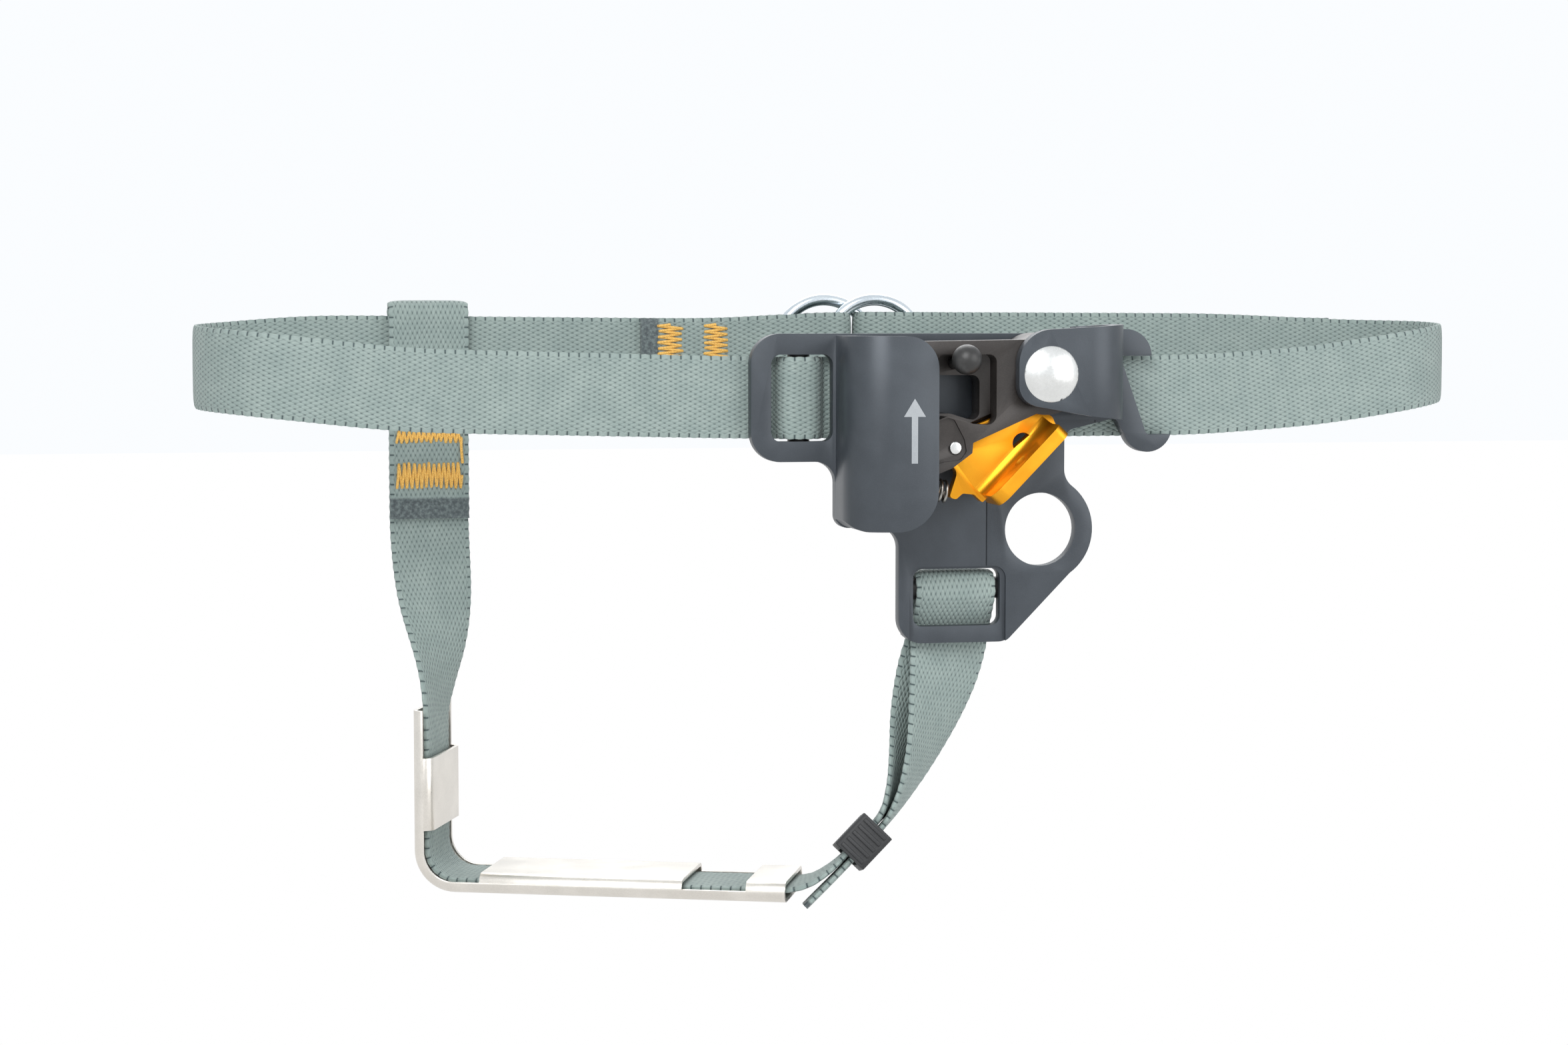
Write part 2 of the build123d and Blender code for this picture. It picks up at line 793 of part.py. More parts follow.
# ---- sole -------------------------------------------------------------------------------
yaw = math.radians(sole_yaw)
sole_along = vec(math.cos(yaw), -math.sin(yaw), 0)
sole_across = vec(math.sin(yaw), math.cos(yaw), 0)
sole_plane = Plane(
    origin=(sole_corner_x, sole_corner_y, sole_bottom_z),
    x_dir=sole_along,
    z_dir=(-sole_across.X, -sole_across.Y, 0),
)


def sole_path(inset):
    """Middle line of the sole piece in its own plane, from the arm's top to the open end."""
    arm = sole_arm_top_z - sole_bottom_z
    return [(inset, arm), (inset, inset), (sole_length, inset)]


def sole_tube(depth, thickness, extension):
    """Flattened tube bent once, with rounded rims."""
    inset = sole_thickness / 2
    points = sole_path(inset)
    points[0] = (points[0][0], points[0][1] + extension)
    points[2] = (points[2][0] + extension, points[2][1])
    path = FilletPolyline(*points, radius=sole_bend_radius)
    start = Plane(origin=(inset, points[0][1], 0), x_dir=(0, 0, 1), z_dir=(0, -1, 0))
    section = start * SlotOverall(depth, thickness)
    return sweep(section, path=path)


def sole_plate():
    """Bent flat tube, open on its inner side at the arm's top, the corner and near the far end."""
    outer = sole_tube(sole_depth, sole_thickness, 0)
    inner = sole_tube(sole_depth - 2 * sole_wall, sole_thickness - 2 * sole_wall, 2)
    arm = sole_arm_top_z - sole_bottom_z
    middle = sole_thickness / 2 + 0.2
    half = sole_depth / 2 + 1
    corner = [(middle, middle), (16.5, middle), (16.5, 15.0), (middle, 15.0)]
    radii = [sole_bend_radius - 0.2, 0.5, 0.5, 0.5]
    corner_face = make_face(FilletPolyline(*corner, radius=radii, close=True))
    cuts = [
        box_between((middle, arm - 11.5, -half), (20, arm + 2, half)),
        extrude(corner_face, amount=half, both=True),
        box_between((66.0, middle, -half), (81.5, 20.0, half)),
    ]
    body = outer - inner
    for cut in cuts:
        body -= cut
    return sole_plane * body


# ---- stirrup strap ----------------------------------------------------------------------
def strap_section(x, y, z, turn, tangent):
    """Cross-section of the strap at a point, with its width turned from +X towards +Y."""
    direction = vec(*tangent).normalized()
    width = vec(math.cos(math.radians(turn)), math.sin(math.radians(turn)), 0)
    width = (width - direction * width.dot(direction)).normalized()
    plane = Plane(origin=(x, y, z), x_dir=width, z_dir=direction)
    return plane * Rectangle(webbing_width, webbing_thickness)


def strap_run(stations):
    """Strap through a list of (x, y, z, turn) stations."""
    sections = []
    last = len(stations) - 1
    for index, (x, y, z, turn) in enumerate(stations):
        before = stations[max(index - 1, 0)]
        after = stations[min(index + 1, last)]
        tangent = tuple(b - a for a, b in zip(before[:3], after[:3]))
        sections.append(strap_section(x, y, z, turn, tangent))
    return loft(sections, ruled=True)


def across_prism(points, radii, middle_x):
    """Strip in a (y, z) plane, one webbing width along X."""
    plane = Plane(origin=(middle_x - webbing_width / 2, 0, 0), x_dir=(0, 1, 0), z_dir=(1, 0, 0))
    return extrude(plane * strip_face(points, radii, webbing_thickness), amount=webbing_width)


band_gap = webbing_thickness / 2 + webbing_gap
sewn_near_y = belt_back_y - band_gap - webbing_thickness / 2
sewn_far_y = belt_back_y + webbing_thickness / 2 + layer_gap + band_gap + webbing_thickness / 2
sewn_top_z = 31.0
sewn_end_z = -21.5
sewn_join_y = belt_back_y + 0.9


def left_loop():
    """Loop sewn round the belt's back, with its two layers together below the belt."""
    layer = webbing_thickness + layer_gap
    points = [
        (sewn_join_y - layer, sewn_end_z),
        (sewn_join_y - layer, 1.0),
        (sewn_near_y, 7.0),
        (sewn_near_y, sewn_top_z),
        (sewn_far_y, sewn_top_z),
        (sewn_far_y, 7.0),
        (sewn_join_y, 1.0),
        (sewn_join_y, sewn_end_z - 3.0),
    ]
    top_radius = (sewn_far_y - sewn_near_y) / 2 - 0.05
    return across_prism(points, [12, 12, top_radius, top_radius, 12, 12], stirrup_left_x)


def left_leg():
    """Strap from the sewn loop down into the arm of the sole."""
    inset = sole_thickness / 2
    arm = sole_plane.from_local_coords(vec(inset, sole_arm_top_z - sole_bottom_z - 12.0, 0))
    return strap_run(
        [
            (stirrup_left_x, sewn_join_y, sewn_end_z - 2.0, 0),
            (-100.6, 57.6, -31.0, 5),
            (-100.0, 56.2, -40.0, 16),
            (-99.6, 53.8, -49.0, 36),
            (-99.9, 51.2, -58.0, 56),
            (arm.X, arm.Y, -65.5, 90 - sole_yaw),
            (arm.X, arm.Y, arm.Z, 90 - sole_yaw),
        ]
    )


def sole_run():
    """Strap inside the sole piece."""
    inset = sole_thickness / 2
    top = sole_arm_top_z - sole_bottom_z - 12.0
    points = [(inset, top + 0.5), (inset, inset), (sole_length + 3.0, inset)]
    strip = strip_face(points, [sole_bend_radius], webbing_thickness)
    return sole_plane * extrude(strip, amount=webbing_width / 2, both=True)


def right_loop():
    """Strap round the lower bar."""
    lower_z = lower_slot_bottom_z + lower_slot_height - lower_bar_drop
    wrap = lock_bar_radius + webbing_gap + webbing_thickness / 2
    front_y = lower_bar_y - wrap
    back_y = lower_bar_y + wrap
    points = [
        (tail_layer_y + 0.2, plate_bottom_z + 0.8),
        (tail_layer_y, lower_slot_bottom_z - 0.2),
        (front_y, lower_z - 1.35),
        (front_y, lower_z + wrap),
        (back_y, lower_z + wrap),
        (back_y, plate_bottom_z + 0.8),
    ]
    return across_prism(points, [2.5, wrap, wrap - 0.05, wrap - 0.05], stirrup_right_x)


def keeper_station(side, along, turn):
    """Place of one of the two layers, at a distance along the strap from the keeper's centre."""
    direction = keeper_tangent.normalized()
    normal = vec(-direction.Z, 0, direction.X)
    offset = side * (webbing_thickness / 2 + layer_gap / 2)
    point = keeper_centre + direction * along + normal * offset
    return (point.X, point.Y, point.Z, turn)


def right_leg():
    """Two layers from the lower slot through the keeper: one to the sole, one to the tail."""
    exit_point = sole_plane.from_local_coords(vec(sole_length + 2.0, sole_thickness / 2, 0))
    back_y = lower_bar_y + lock_bar_radius + webbing_gap + webbing_thickness / 2
    edge_on = 90 - sole_yaw
    reach = keeper_length / 2 + keeper_travel
    main = strap_run(
        [
            (stirrup_right_x, back_y, -48.5, 0),
            (16.8, 17.2, -56.0, 8),
            (13.4, 17.4, -66.0, 26),
            (10.4, 17.0, -76.0, 44),
            (7.2, 16.2, -84.5, 60),
            keeper_station(-1, -reach, edge_on),
            keeper_station(-1, reach, edge_on),
            (exit_point.X, exit_point.Y, exit_point.Z, edge_on),
        ]
    )
    tail = strap_run(
        [
            (stirrup_right_x, tail_layer_y + 0.2, -48.7, 0),
            (18.6, 13.9, -56.0, 14),
            (16.4, 14.1, -66.0, 32),
            (13.6, 14.3, -75.5, 48),
            (9.8, 14.8, -85.0, 61),
            keeper_station(1, -reach, edge_on),
            keeper_station(1, reach, edge_on),
            (-15.6, 15.9, -113.4, edge_on),
        ]
    )
    return main, tail


def stirrup_webbing():
    """The whole stirrup strap as one piece."""
    main, tail = right_leg()
    return left_loop() + left_leg() + sole_run() + right_loop() + main + tail


def stirrup_bartacks():
    """Two bars of stitching across the sewn loop, below the belt."""
    near_y = sewn_join_y - webbing_thickness * 1.5 - layer_gap
    half = 8.2
    bars = []
    for low_z, high_z in ((-3.0, -0.2), (-14.0, -8.0)):
        low = (stirrup_left_x - half, near_y - 0.35, low_z)
        high = (stirrup_left_x + half, near_y, high_z)
        bars.append(box_between(low, high))
    return bars


# ---- keeper -----------------------------------------------------------------------------
def keeper_plane():
    """Plane across the strap at the keeper, with its normal down along the strap."""
    direction = keeper_tangent.normalized()
    width = vec(sole_across.X, sole_across.Y, 0)
    width = (width - direction * width.dot(direction)).normalized()
    return Plane(origin=keeper_centre, x_dir=width, z_dir=direction)


def strap_keeper():
    """Moulded rubber band with ribs on its two short sides."""
    hole_width = webbing_width + 1.2
    hole_height = 2 * webbing_thickness + 1.6
    outer = RectangleRounded(hole_width + 2 * keeper_wall, hole_height + 2 * keeper_wall, 1.2)
    hole = RectangleRounded(hole_width, hole_height, 0.6)
    band = extrude(outer - hole, amount=keeper_length / 2, both=True)
    side_x = hole_width / 2 + keeper_wall
    for index in range(5):
        z = (index - 2) * keeper_length / 5.2
        for sign in (-1, 1):
            band += Pos(sign * side_x, 0, z) * Box(0.8, hole_height + 1.6, 0.9)
    return keeper_plane() * band


# ---- export -----------------------------------------------------------------------------
def group(shapes):
    """Several separate solids kept as one node."""
    return Compound(children=list(shapes))


def build_all():
    """Every sub-part by name."""
    tab_bar, lower_bar = lock_bars()
    places = {name: (x, y) for x, y, name in ring_places()}
    front_washer_y = -channel_inner_radius + washer_clearance
    rear_washer_y = plate_front_y - washer_clearance - washer_thickness
    return {
        "frame_body": frame_body(),
        "pivot_rivet": pivot_rivet(),
        "pivot_washer_front": pivot_washer(front_washer_y),
        "pivot_washer_rear": pivot_washer(rear_washer_y),
        "cam": cam(),
        "cam_spring": cam_spring(),
        "trigger_lever": trigger_lever(),
        "trigger_pin": trigger_pin(),
        "trigger_spring": trigger_spring(),
        "knob_stem": knob_stem(),
        "cam_knob": cam_knob(),
        "tab_lock_bar": tab_bar,
        "lower_lock_bar": lower_bar,
        "belt_webbing": belt_webbing(),
        "belt_bartacks": group(belt_bartacks()),
        "buckle_ring_rear": ring(*places["rear"], ring_wire_radius),
        "buckle_ring_front": ring(*places["front"], ring_wire_radius),
        "sole_plate": sole_plate(),
        "stirrup_webbing": stirrup_webbing(),
        "stirrup_bartacks": group(stirrup_bartacks()),
        "strap_keeper": strap_keeper(),
    }


os.makedirs("parts", exist_ok=True)
for node_name, shape in build_all().items():
    export_step(shape, f"parts/{node_name}.step")
    print(node_name, "solids", len(shape.solids()), "volume", round(shape.volume, 1))
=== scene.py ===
"""Looks of a foot ascender with its ankle belt and stirrup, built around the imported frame.

All sizes are in millimetres in this file and become metres in mm().
"""

import json
import logging
import math
import random
from dataclasses import dataclass, field
from enum import Enum

import bmesh
import bpy
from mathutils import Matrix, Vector


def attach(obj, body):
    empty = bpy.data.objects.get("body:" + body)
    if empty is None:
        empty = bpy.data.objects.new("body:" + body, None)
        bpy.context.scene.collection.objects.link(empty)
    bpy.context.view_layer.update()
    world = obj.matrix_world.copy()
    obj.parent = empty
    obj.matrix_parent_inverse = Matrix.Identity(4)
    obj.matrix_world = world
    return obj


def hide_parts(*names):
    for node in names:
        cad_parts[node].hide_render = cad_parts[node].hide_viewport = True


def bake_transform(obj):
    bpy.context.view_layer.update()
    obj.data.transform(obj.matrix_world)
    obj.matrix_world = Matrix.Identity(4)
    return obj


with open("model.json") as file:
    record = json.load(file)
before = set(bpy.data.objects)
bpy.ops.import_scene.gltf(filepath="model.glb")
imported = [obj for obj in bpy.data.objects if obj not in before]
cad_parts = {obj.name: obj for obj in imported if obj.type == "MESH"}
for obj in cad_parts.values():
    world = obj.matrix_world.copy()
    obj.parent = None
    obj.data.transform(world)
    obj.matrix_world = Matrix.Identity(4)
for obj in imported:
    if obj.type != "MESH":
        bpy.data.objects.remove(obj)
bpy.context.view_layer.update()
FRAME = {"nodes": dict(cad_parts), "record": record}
NODE_BODY = {
    node: body for body, nodes in FRAME["record"]["behaviour"]["bodies"].items() for node in nodes
}

LOG = logging.getLogger("ascender")

Colour = tuple[float, float, float]
Place = tuple[float, float, float]


def mm(value: float) -> float:
    """Millimetres as metres."""
    return value * 0.001


def spot(x: float, y: float, z: float) -> Vector:
    """A place given in millimetres, as a vector in metres."""
    return Vector((mm(x), mm(y), mm(z)))


def rgba(colour: Colour) -> tuple[float, float, float, float]:
    """An opaque colour."""
    return (*colour, 1.0)


# ---- shader building --------------------------------------------------------------------


class Signal:
    """A number output of a shader tree that Python operators add Math nodes to."""

    def __init__(self, recipe: "Recipe", socket: bpy.types.NodeSocket) -> None:
        """Wraps one output socket of a recipe's tree."""
        self.recipe = recipe
        self.socket = socket

    def _math(self, operation: str, *others: "Signal | float", first: bool = True) -> "Signal":
        """Adds one Math node.

        Args:
            operation: the Math node's operation.
            others: the node's other inputs.
            first: False puts this signal after the first of the others.

        Returns:
            The node's output.
        """
        inputs = [self, *others] if first else [others[0], self, *others[1:]]
        node = self.recipe.node("ShaderNodeMath", {"operation": operation}, dict(enumerate(inputs)))
        return Signal(self.recipe, node.outputs[0])

    def __add__(self, other: "Signal | float") -> "Signal":
        """Sum."""
        return self._math("ADD", other)

    __radd__ = __add__

    def __sub__(self, other: "Signal | float") -> "Signal":
        """Difference."""
        return self._math("SUBTRACT", other)

    def __rsub__(self, other: float) -> "Signal":
        """Difference from a number."""
        return self._math("SUBTRACT", other, first=False)

    def __mul__(self, other: "Signal | float") -> "Signal":
        """Product."""
        return self._math("MULTIPLY", other)

    __rmul__ = __mul__

    def __truediv__(self, other: "Signal | float") -> "Signal":
        """Quotient."""
        return self._math("DIVIDE", other)

    def __pow__(self, other: float) -> "Signal":
        """Power."""
        return self._math("POWER", other)

    def __abs__(self) -> "Signal":
        """Size without sign."""
        return self._math("ABSOLUTE")

    def __gt__(self, other: "Signal | float") -> "Signal":
        """One where this is greater, zero elsewhere."""
        return self._math("GREATER_THAN", other)

    def __lt__(self, other: "Signal | float") -> "Signal":
        """One where this is less, zero elsewhere."""
        return self._math("LESS_THAN", other)

    def most(self, other: "Signal | float") -> "Signal":
        """The greater of two."""
        return self._math("MAXIMUM", other)

    def centred(self, period: float) -> "Signal":
        """Distance to the nearest multiple of a period, with its sign."""
        half = period / 2
        return (self + half)._math("FLOORED_MODULO", period) - half

    def ramp(self, low: float, high: float) -> "Signal":
        """Smooth rise from 0 at low to 1 at high."""
        node = self.recipe.node(
            "ShaderNodeMapRange", {"interpolation_type": "SMOOTHSTEP"}, {0: self, 1: low, 2: high}
        )
        return Signal(self.recipe, node.outputs[0])


class Recipe:
    """One material under construction, around a single Principled shader."""

    def __init__(self, name: str) -> None:
        """Starts an empty material of that name."""
        self.material = bpy.data.materials.new(name)
        self.material.use_nodes = True
        self.tree = self.material.node_tree
        self.shader = self.tree.nodes["Principled BSDF"]

    def node(self, kind: str, settings: dict, inputs: dict) -> bpy.types.Node:
        """Adds a node.

        Args:
            kind: the node's type.
            settings: its properties, which are set first.
            inputs: values or links by socket name or number.

        Returns:
            The node.
        """
        made = self.tree.nodes.new(kind)
        for key, value in settings.items():
            setattr(made, key, value)
        for key, value in inputs.items():
            self.feed(made.inputs[key], value)
        return made

    def feed(self, socket: bpy.types.NodeSocket, value: object) -> None:
        """Links a signal or socket to an input, or sets its value."""
        if isinstance(value, Signal):
            self.tree.links.new(value.socket, socket)
        elif isinstance(value, bpy.types.NodeSocket):
            self.tree.links.new(value, socket)
        else:
            socket.default_value = value

    def place(self) -> bpy.types.NodeSocket:
        """Object coordinates."""
        return self.node("ShaderNodeTexCoord", {}, {}).outputs["Object"]

    def strip(self) -> tuple[Signal, Signal]:
        """The webbing's own coordinates, in millimetres along and across."""
        uv = self.node("ShaderNodeTexCoord", {}, {}).outputs["UV"]
        parts = self.node("ShaderNodeSeparateXYZ", {}, {0: uv})
        metre = 1000.0
        return Signal(self, parts.outputs[0]) * metre, Signal(self, parts.outputs[1]) * metre

    def stretched(self, vector: bpy.types.NodeSocket, scale: Place) -> bpy.types.NodeSocket:
        """Coordinates scaled along each axis."""
        return self.node("ShaderNodeMapping", {}, {"Vector": vector, "Scale": scale}).outputs[0]

    def noise(self, size: float, detail: float = 2.0, vector: bpy.types.NodeSocket | None = None) -> Signal:
        """Noise whose features are about that many millimetres across."""
        vector = vector or self.place()
        inputs = {"Vector": vector, "Scale": 1000.0 / size, "Detail": detail, "Roughness": 0.55}
        return Signal(self, self.node("ShaderNodeTexNoise", {}, inputs).outputs["Fac"])

    def blend(self, low: object, high: object, factor: Signal) -> bpy.types.NodeSocket:
        """Colour mixed from low to high by a factor."""
        low = rgba(low) if isinstance(low, tuple) else low
        high = rgba(high) if isinstance(high, tuple) else high
        node = self.node("ShaderNodeMix", {"data_type": "RGBA"}, {"Factor": factor, 6: low, 7: high})
        return node.outputs[2]

    def bump(self, height: Signal, depth: float, strength: float = 1.0) -> bpy.types.NodeSocket:
        """Normal from a height of 0 to 1 that stands for a depth in millimetres."""
        inputs = {"Height": height, "Distance": mm(depth), "Strength": strength}
        return self.node("ShaderNodeBump", {}, inputs).outputs[0]

    def finish(self, **inputs: object) -> bpy.types.Material:
        """Feeds the Principled shader's inputs, named with underscores for spaces."""
        for key, value in inputs.items():
            name = " ".join(word if word == "IOR" else word.capitalize() for word in key.split("_"))
            self.feed(self.shader.inputs[name], value)
        return self.material


@dataclass(frozen=True)
class Metal:
    """A metal or coated surface with grain, mottling and fine scratches."""

    name: str
    colour: Colour
    shade: Colour
    metallic: float
    roughness: float
    grain: float = 0.25
    grain_depth: float = 0.01
    scratch: float = 0.0
    coat: float = 0.0

    def make(self) -> bpy.types.Material:
        """Builds the material."""
        recipe = Recipe(self.name)
        place = recipe.place()
        mottle = recipe.noise(9.0, 3.0, place)
        grain = recipe.noise(self.grain, 2.0, place)
        lines = recipe.noise(0.5, 2.0, recipe.stretched(place, (0.06, 1.0, 1.0)))
        worn = mottle.ramp(0.35, 0.7) * 0.6 + grain.ramp(0.3, 0.75) * 0.4
        rough = (mottle - 0.5) * 0.12 + (grain - 0.5) * 0.1 + lines * self.scratch + self.roughness
        height = grain + lines * (self.scratch * 2.0)
        return recipe.finish(
            base_color=recipe.blend(self.shade, self.colour, worn),
            metallic=self.metallic,
            roughness=rough,
            coat_weight=self.coat,
            normal=recipe.bump(height, self.grain_depth),
        )


@dataclass(frozen=True)
class Moulded:
    """Black plastic or rubber with a fine moulded texture."""

    name: str
    colour: Colour
    roughness: float
    texture: float = 0.35
    depth: float = 0.03

    def make(self) -> bpy.types.Material:
        """Builds the material."""
        recipe = Recipe(self.name)
        grain = recipe.noise(self.texture, 3.0)
        dust = recipe.noise(4.0, 4.0).ramp(0.55, 0.8)
        dusty = tuple(channel + 0.02 for channel in self.colour)
        return recipe.finish(
            base_color=recipe.blend(self.colour, dusty, dust),
            roughness=dust * 0.12 + grain * 0.1 + self.roughness,
            normal=recipe.bump(grain, self.depth),
        )


@dataclass(frozen=True)
class Weave:
    """Tubular webbing: staggered floats, knotted selvedges and melted ends, with painted shade in the hollows
    between them.
    """

    name: str
    width: float
    length: float
    melted_start: float
    melted_end: float
    light: Colour = (0.335, 0.400, 0.375)
    middle: Colour = (0.215, 0.275, 0.262)
    # dark is painted shade, laid into the hollows between the floats and between the selvedge knots.
    dark: Colour = (0.055, 0.085, 0.090)
    float_pitch: float = 2.4
    row_pitch: float = 1.15

    def float_height(self, along: Signal, across: Signal, shift: float) -> Signal:
        """Height of one of the two staggered sets of floats."""
        u = (along + self.float_pitch * shift).centred(self.float_pitch) / (self.float_pitch * 0.56)
        v = (across + self.row_pitch * shift).centred(self.row_pitch) / (self.row_pitch * 0.56)
        return 1 - u * u - v * v

    def make(self) -> bpy.types.Material:
        """Builds the material."""
        recipe = Recipe(self.name)
        along, across = recipe.strip()
        uv = recipe.node("ShaderNodeTexCoord", {}, {}).outputs["UV"]
        drift = recipe.noise(14.0, 2.0, uv)
        wander = (drift - 0.5) * 1.6
        floats = self.float_height(along + wander, across, 0.0).most(
            self.float_height(along + wander, across, 0.5)
        )
        floats = floats.most(0.0)
        edge = abs(across).ramp(self.width / 2 - 1.25, self.width / 2 - 0.85)
        knot_u = along.centred(self.float_pitch) / (self.float_pitch * 0.48)
        knots = (1 - knot_u * knot_u).most(0.0) ** 0.5
        height = floats * (1 - edge) + knots * edge
        fibres = recipe.noise(0.16, 2.0, recipe.stretched(uv, (0.12, 1.0, 1.0)))
        cloudy = recipe.noise(6.0, 3.0, uv)
        start = 1 - along.ramp(self.melted_start - 0.4, self.melted_start + 0.4)
        end = along.ramp(self.length - self.melted_end - 0.4, self.length - self.melted_end + 0.4)
        melted = start.most(end)
        crust = recipe.noise(0.9, 4.0, uv)
        lit = recipe.blend(self.middle, self.light, (fibres * 0.7 + cloudy * 0.5 - 0.25).ramp(0.1, 0.8))
        # Painted shade: the colour falls to dark where the weave's height is low, between floats and knots.
        cloth_with_hollow_shade = recipe.blend(self.dark, lit, height.ramp(0.12, 0.75))
        burnt = recipe.blend((0.045, 0.060, 0.066), (0.15, 0.19, 0.19), crust.ramp(0.35, 0.75))
        surface = height * (1 - melted) + crust * melted * 0.8 + fibres * 0.16
        return recipe.finish(
            base_color=recipe.blend(cloth_with_hollow_shade, burnt, melted),
            roughness=0.86 - height * 0.2 - melted * 0.2,
            sheen_weight=0.12,
            sheen_roughness=0.5,
            normal=recipe.bump(surface, 0.34),
        )


@dataclass(frozen=True)
class Thread:
    """Golden sewing thread, with twisted plies."""

    name: str
    light: Colour = (0.83, 0.50, 0.115)
    dark: Colour = (0.50, 0.24, 0.035)

    def make(self) -> bpy.types.Material:
        """Builds the material."""
        recipe = Recipe(self.name)
        plies = recipe.noise(0.28, 2.0)
        return recipe.finish(
            base_color=recipe.blend(self.dark, self.light, plies.ramp(0.25, 0.6)),
            roughness=0.62 - plies * 0.15,
            sheen_weight=0.1,
            normal=recipe.bump(plies, 0.08),
        )


class Finish(Enum):
    """The finishes of all the pieces but the webbing."""

    FRAME = Metal("slate_anodised", (0.058, 0.068, 0.080), (0.045, 0.053, 0.063), 0.35, 0.40, 0.22, 0.008)
    CAM = Metal("brown_cast", (0.050, 0.044, 0.041), (0.034, 0.030, 0.028), 0.30, 0.36, 0.30, 0.012)
    RIVET = Metal("polished_steel", (0.80, 0.81, 0.80), (0.70, 0.71, 0.70), 1.0, 0.20, 0.6, 0.002, 0.10)
    RING = Metal("bright_wire", (0.70, 0.76, 0.80), (0.58, 0.64, 0.69), 1.0, 0.16, 0.5, 0.003, 0.08)
    COIL = Metal("spring_wire", (0.42, 0.41, 0.38), (0.30, 0.29, 0.27), 1.0, 0.28, 0.4, 0.004, 0.1)
    SOLE = Metal("warm_nickel", (0.78, 0.745, 0.69), (0.66, 0.63, 0.58), 1.0, 0.26, 0.35, 0.008, 0.14)
    LEVER = Metal("gold_anodised", (0.83, 0.38, 0.018), (0.72, 0.29, 0.010), 0.80, 0.36, 0.20, 0.014)
    PLASTIC = Moulded("black_moulding", (0.014, 0.014, 0.015), 0.42)
    KNOB = Moulded("knob_black", (0.020, 0.020, 0.020), 0.36, 0.5, 0.02)
    RUBBER = Moulded("ribbed_rubber", (0.022, 0.023, 0.025), 0.55, 0.5, 0.04)
    THREAD = Thread("gold_thread")
    MARK = Metal("etched_mark", (0.36, 0.38, 0.40), (0.29, 0.31, 0.33), 0.1, 0.55, 0.3, 0.01)


class Wardrobe:
    """Makes each finish's material once."""

    def __init__(self) -> None:
        """Starts with no material made."""
        self.made: dict[Finish, bpy.types.Material] = {}

    def dress(self, piece: bpy.types.Object, finish: Finish) -> None:
        """Gives a piece that finish in place of all its materials."""
        if finish not in self.made:
            self.made[finish] = finish.value.make()
        piece.data.materials.clear()
        piece.data.materials.append(self.made[finish])


# ---- mesh helpers -----------------------------------------------------------------------


def object_of(name: str, mesh: bmesh.types.BMesh) -> bpy.types.Object:
    """Turns a finished bmesh into an object at the origin.

    Args:
        name: the piece's name.
        mesh: the shape, which is freed.

    Returns:
        The linked object.
    """
    data = bpy.data.meshes.new(name)
    mesh.to_mesh(data)
    mesh.free()
    piece = bpy.data.objects.new(name, data)
    bpy.context.scene.collection.objects.link(piece)
    return piece


def soften(piece: bpy.types.Object, angle: float = 38.0) -> None:
    """Smooth shading, with edges sharper than an angle in degrees kept."""
    piece.data.shade_smooth()
    piece.data.set_sharp_from_angle(angle=math.radians(angle))


def eased_copy(node: str, name: str, ease: float, sharp: float = 32.0) -> bpy.types.Object:
    """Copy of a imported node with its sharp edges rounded.

    Args:
        node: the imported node.
        name: the new piece's name.
        ease: width of the rounding in millimetres, 0 for none.
        sharp: angle in degrees from which an edge is rounded.

    Returns:
        The new piece, standing for the node.
    """
    source = FRAME["nodes"][node]
    mesh = bmesh.new()
    mesh.from_mesh(source.data)
    bmesh.ops.remove_doubles(mesh, verts=mesh.verts, dist=mm(0.002))
    bmesh.ops.dissolve_limit(mesh, angle_limit=math.radians(0.6), verts=mesh.verts, edges=mesh.edges)
    if ease:
        limit = math.radians(sharp)
        edges = [edge for edge in mesh.edges if edge.is_manifold and edge.calc_face_angle(0) > limit]
        bmesh.ops.bevel(
            mesh,
            geom=edges,
            offset=mm(ease),
            affect="EDGES",
            segments=2,
            profile=0.5,
            material=-1,
            clamp_overlap=True,
        )
    piece = object_of(name, mesh)
    soften(piece)
    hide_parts(node)
    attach(piece, NODE_BODY[node])
    return piece


def filleted(points: list[Vector], radii: list[float | None], step: float) -> list[Vector]:
    """Line through points with its corners rounded, as evenly spaced places.

    Args:
        points: the corners, in metres.
        radii: a radius in metres for each inner corner, or None for as large as fits.
        step: the spacing in metres.

    Returns:
        Places along the line.
    """
    line = [points[0]]
    reach = [0.0] * len(points)
    for index in range(1, len(points) - 1):
        before, here, after = points[index - 1 : index + 2]
        first = (here - before).normalized()
        second = (after - here).normalized()
        turn = first.angle(second, 0.0)
        if turn < 1e-4:
            continue
        room = min((here - before).length, (after - here).length) * 0.49
        radius = radii[index - 1]
        cut = room if radius is None else radius * math.tan(turn / 2)
        radius = cut / math.tan(turn / 2)
        side = (second - first * math.cos(turn)).normalized()
        start = here - first * cut
        pieces = max(2, math.ceil(radius * turn / step))
        for piece in range(pieces + 1):
            angle = turn * piece / pieces
            line.append(start + first * (radius * math.sin(angle)) + side * (radius * (1 - math.cos(angle))))
        reach[index] = cut
    line.append(points[-1])
    return evened(line, step)


def evened(line: list[Vector], step: float) -> list[Vector]:
    """The same line with its places at even spacing."""
    total = sum((b - a).length for a, b in zip(line, line[1:]))
    count = max(2, round(total / step))
    spacing = total / count
    places = [line[0].copy()]
    carried = 0.0
    for first, second in zip(line, line[1:]):
        length = (second - first).length
        while length > 0 and carried + length >= spacing * len(places) - 1e-12 and len(places) < count:
            share = (spacing * len(places) - carried) / length
            places.append(first.lerp(second, share))
        carried += length
    places.append(line[-1].copy())
    return places


def smoothed(values: list[float], reach: int) -> list[float]:
    """Running mean of a list, twice over."""
    for _ in range(2):
        sums = [0.0]
        for value in values:
            sums.append(sums[-1] + value)
        last = len(values) - 1
        values = [
            (sums[min(i + reach, last) + 1] - sums[max(i - reach, 0)])
            / (min(i + reach, last) + 1 - max(i - reach, 0))
            for i in range(last + 1)
        ]
    return values


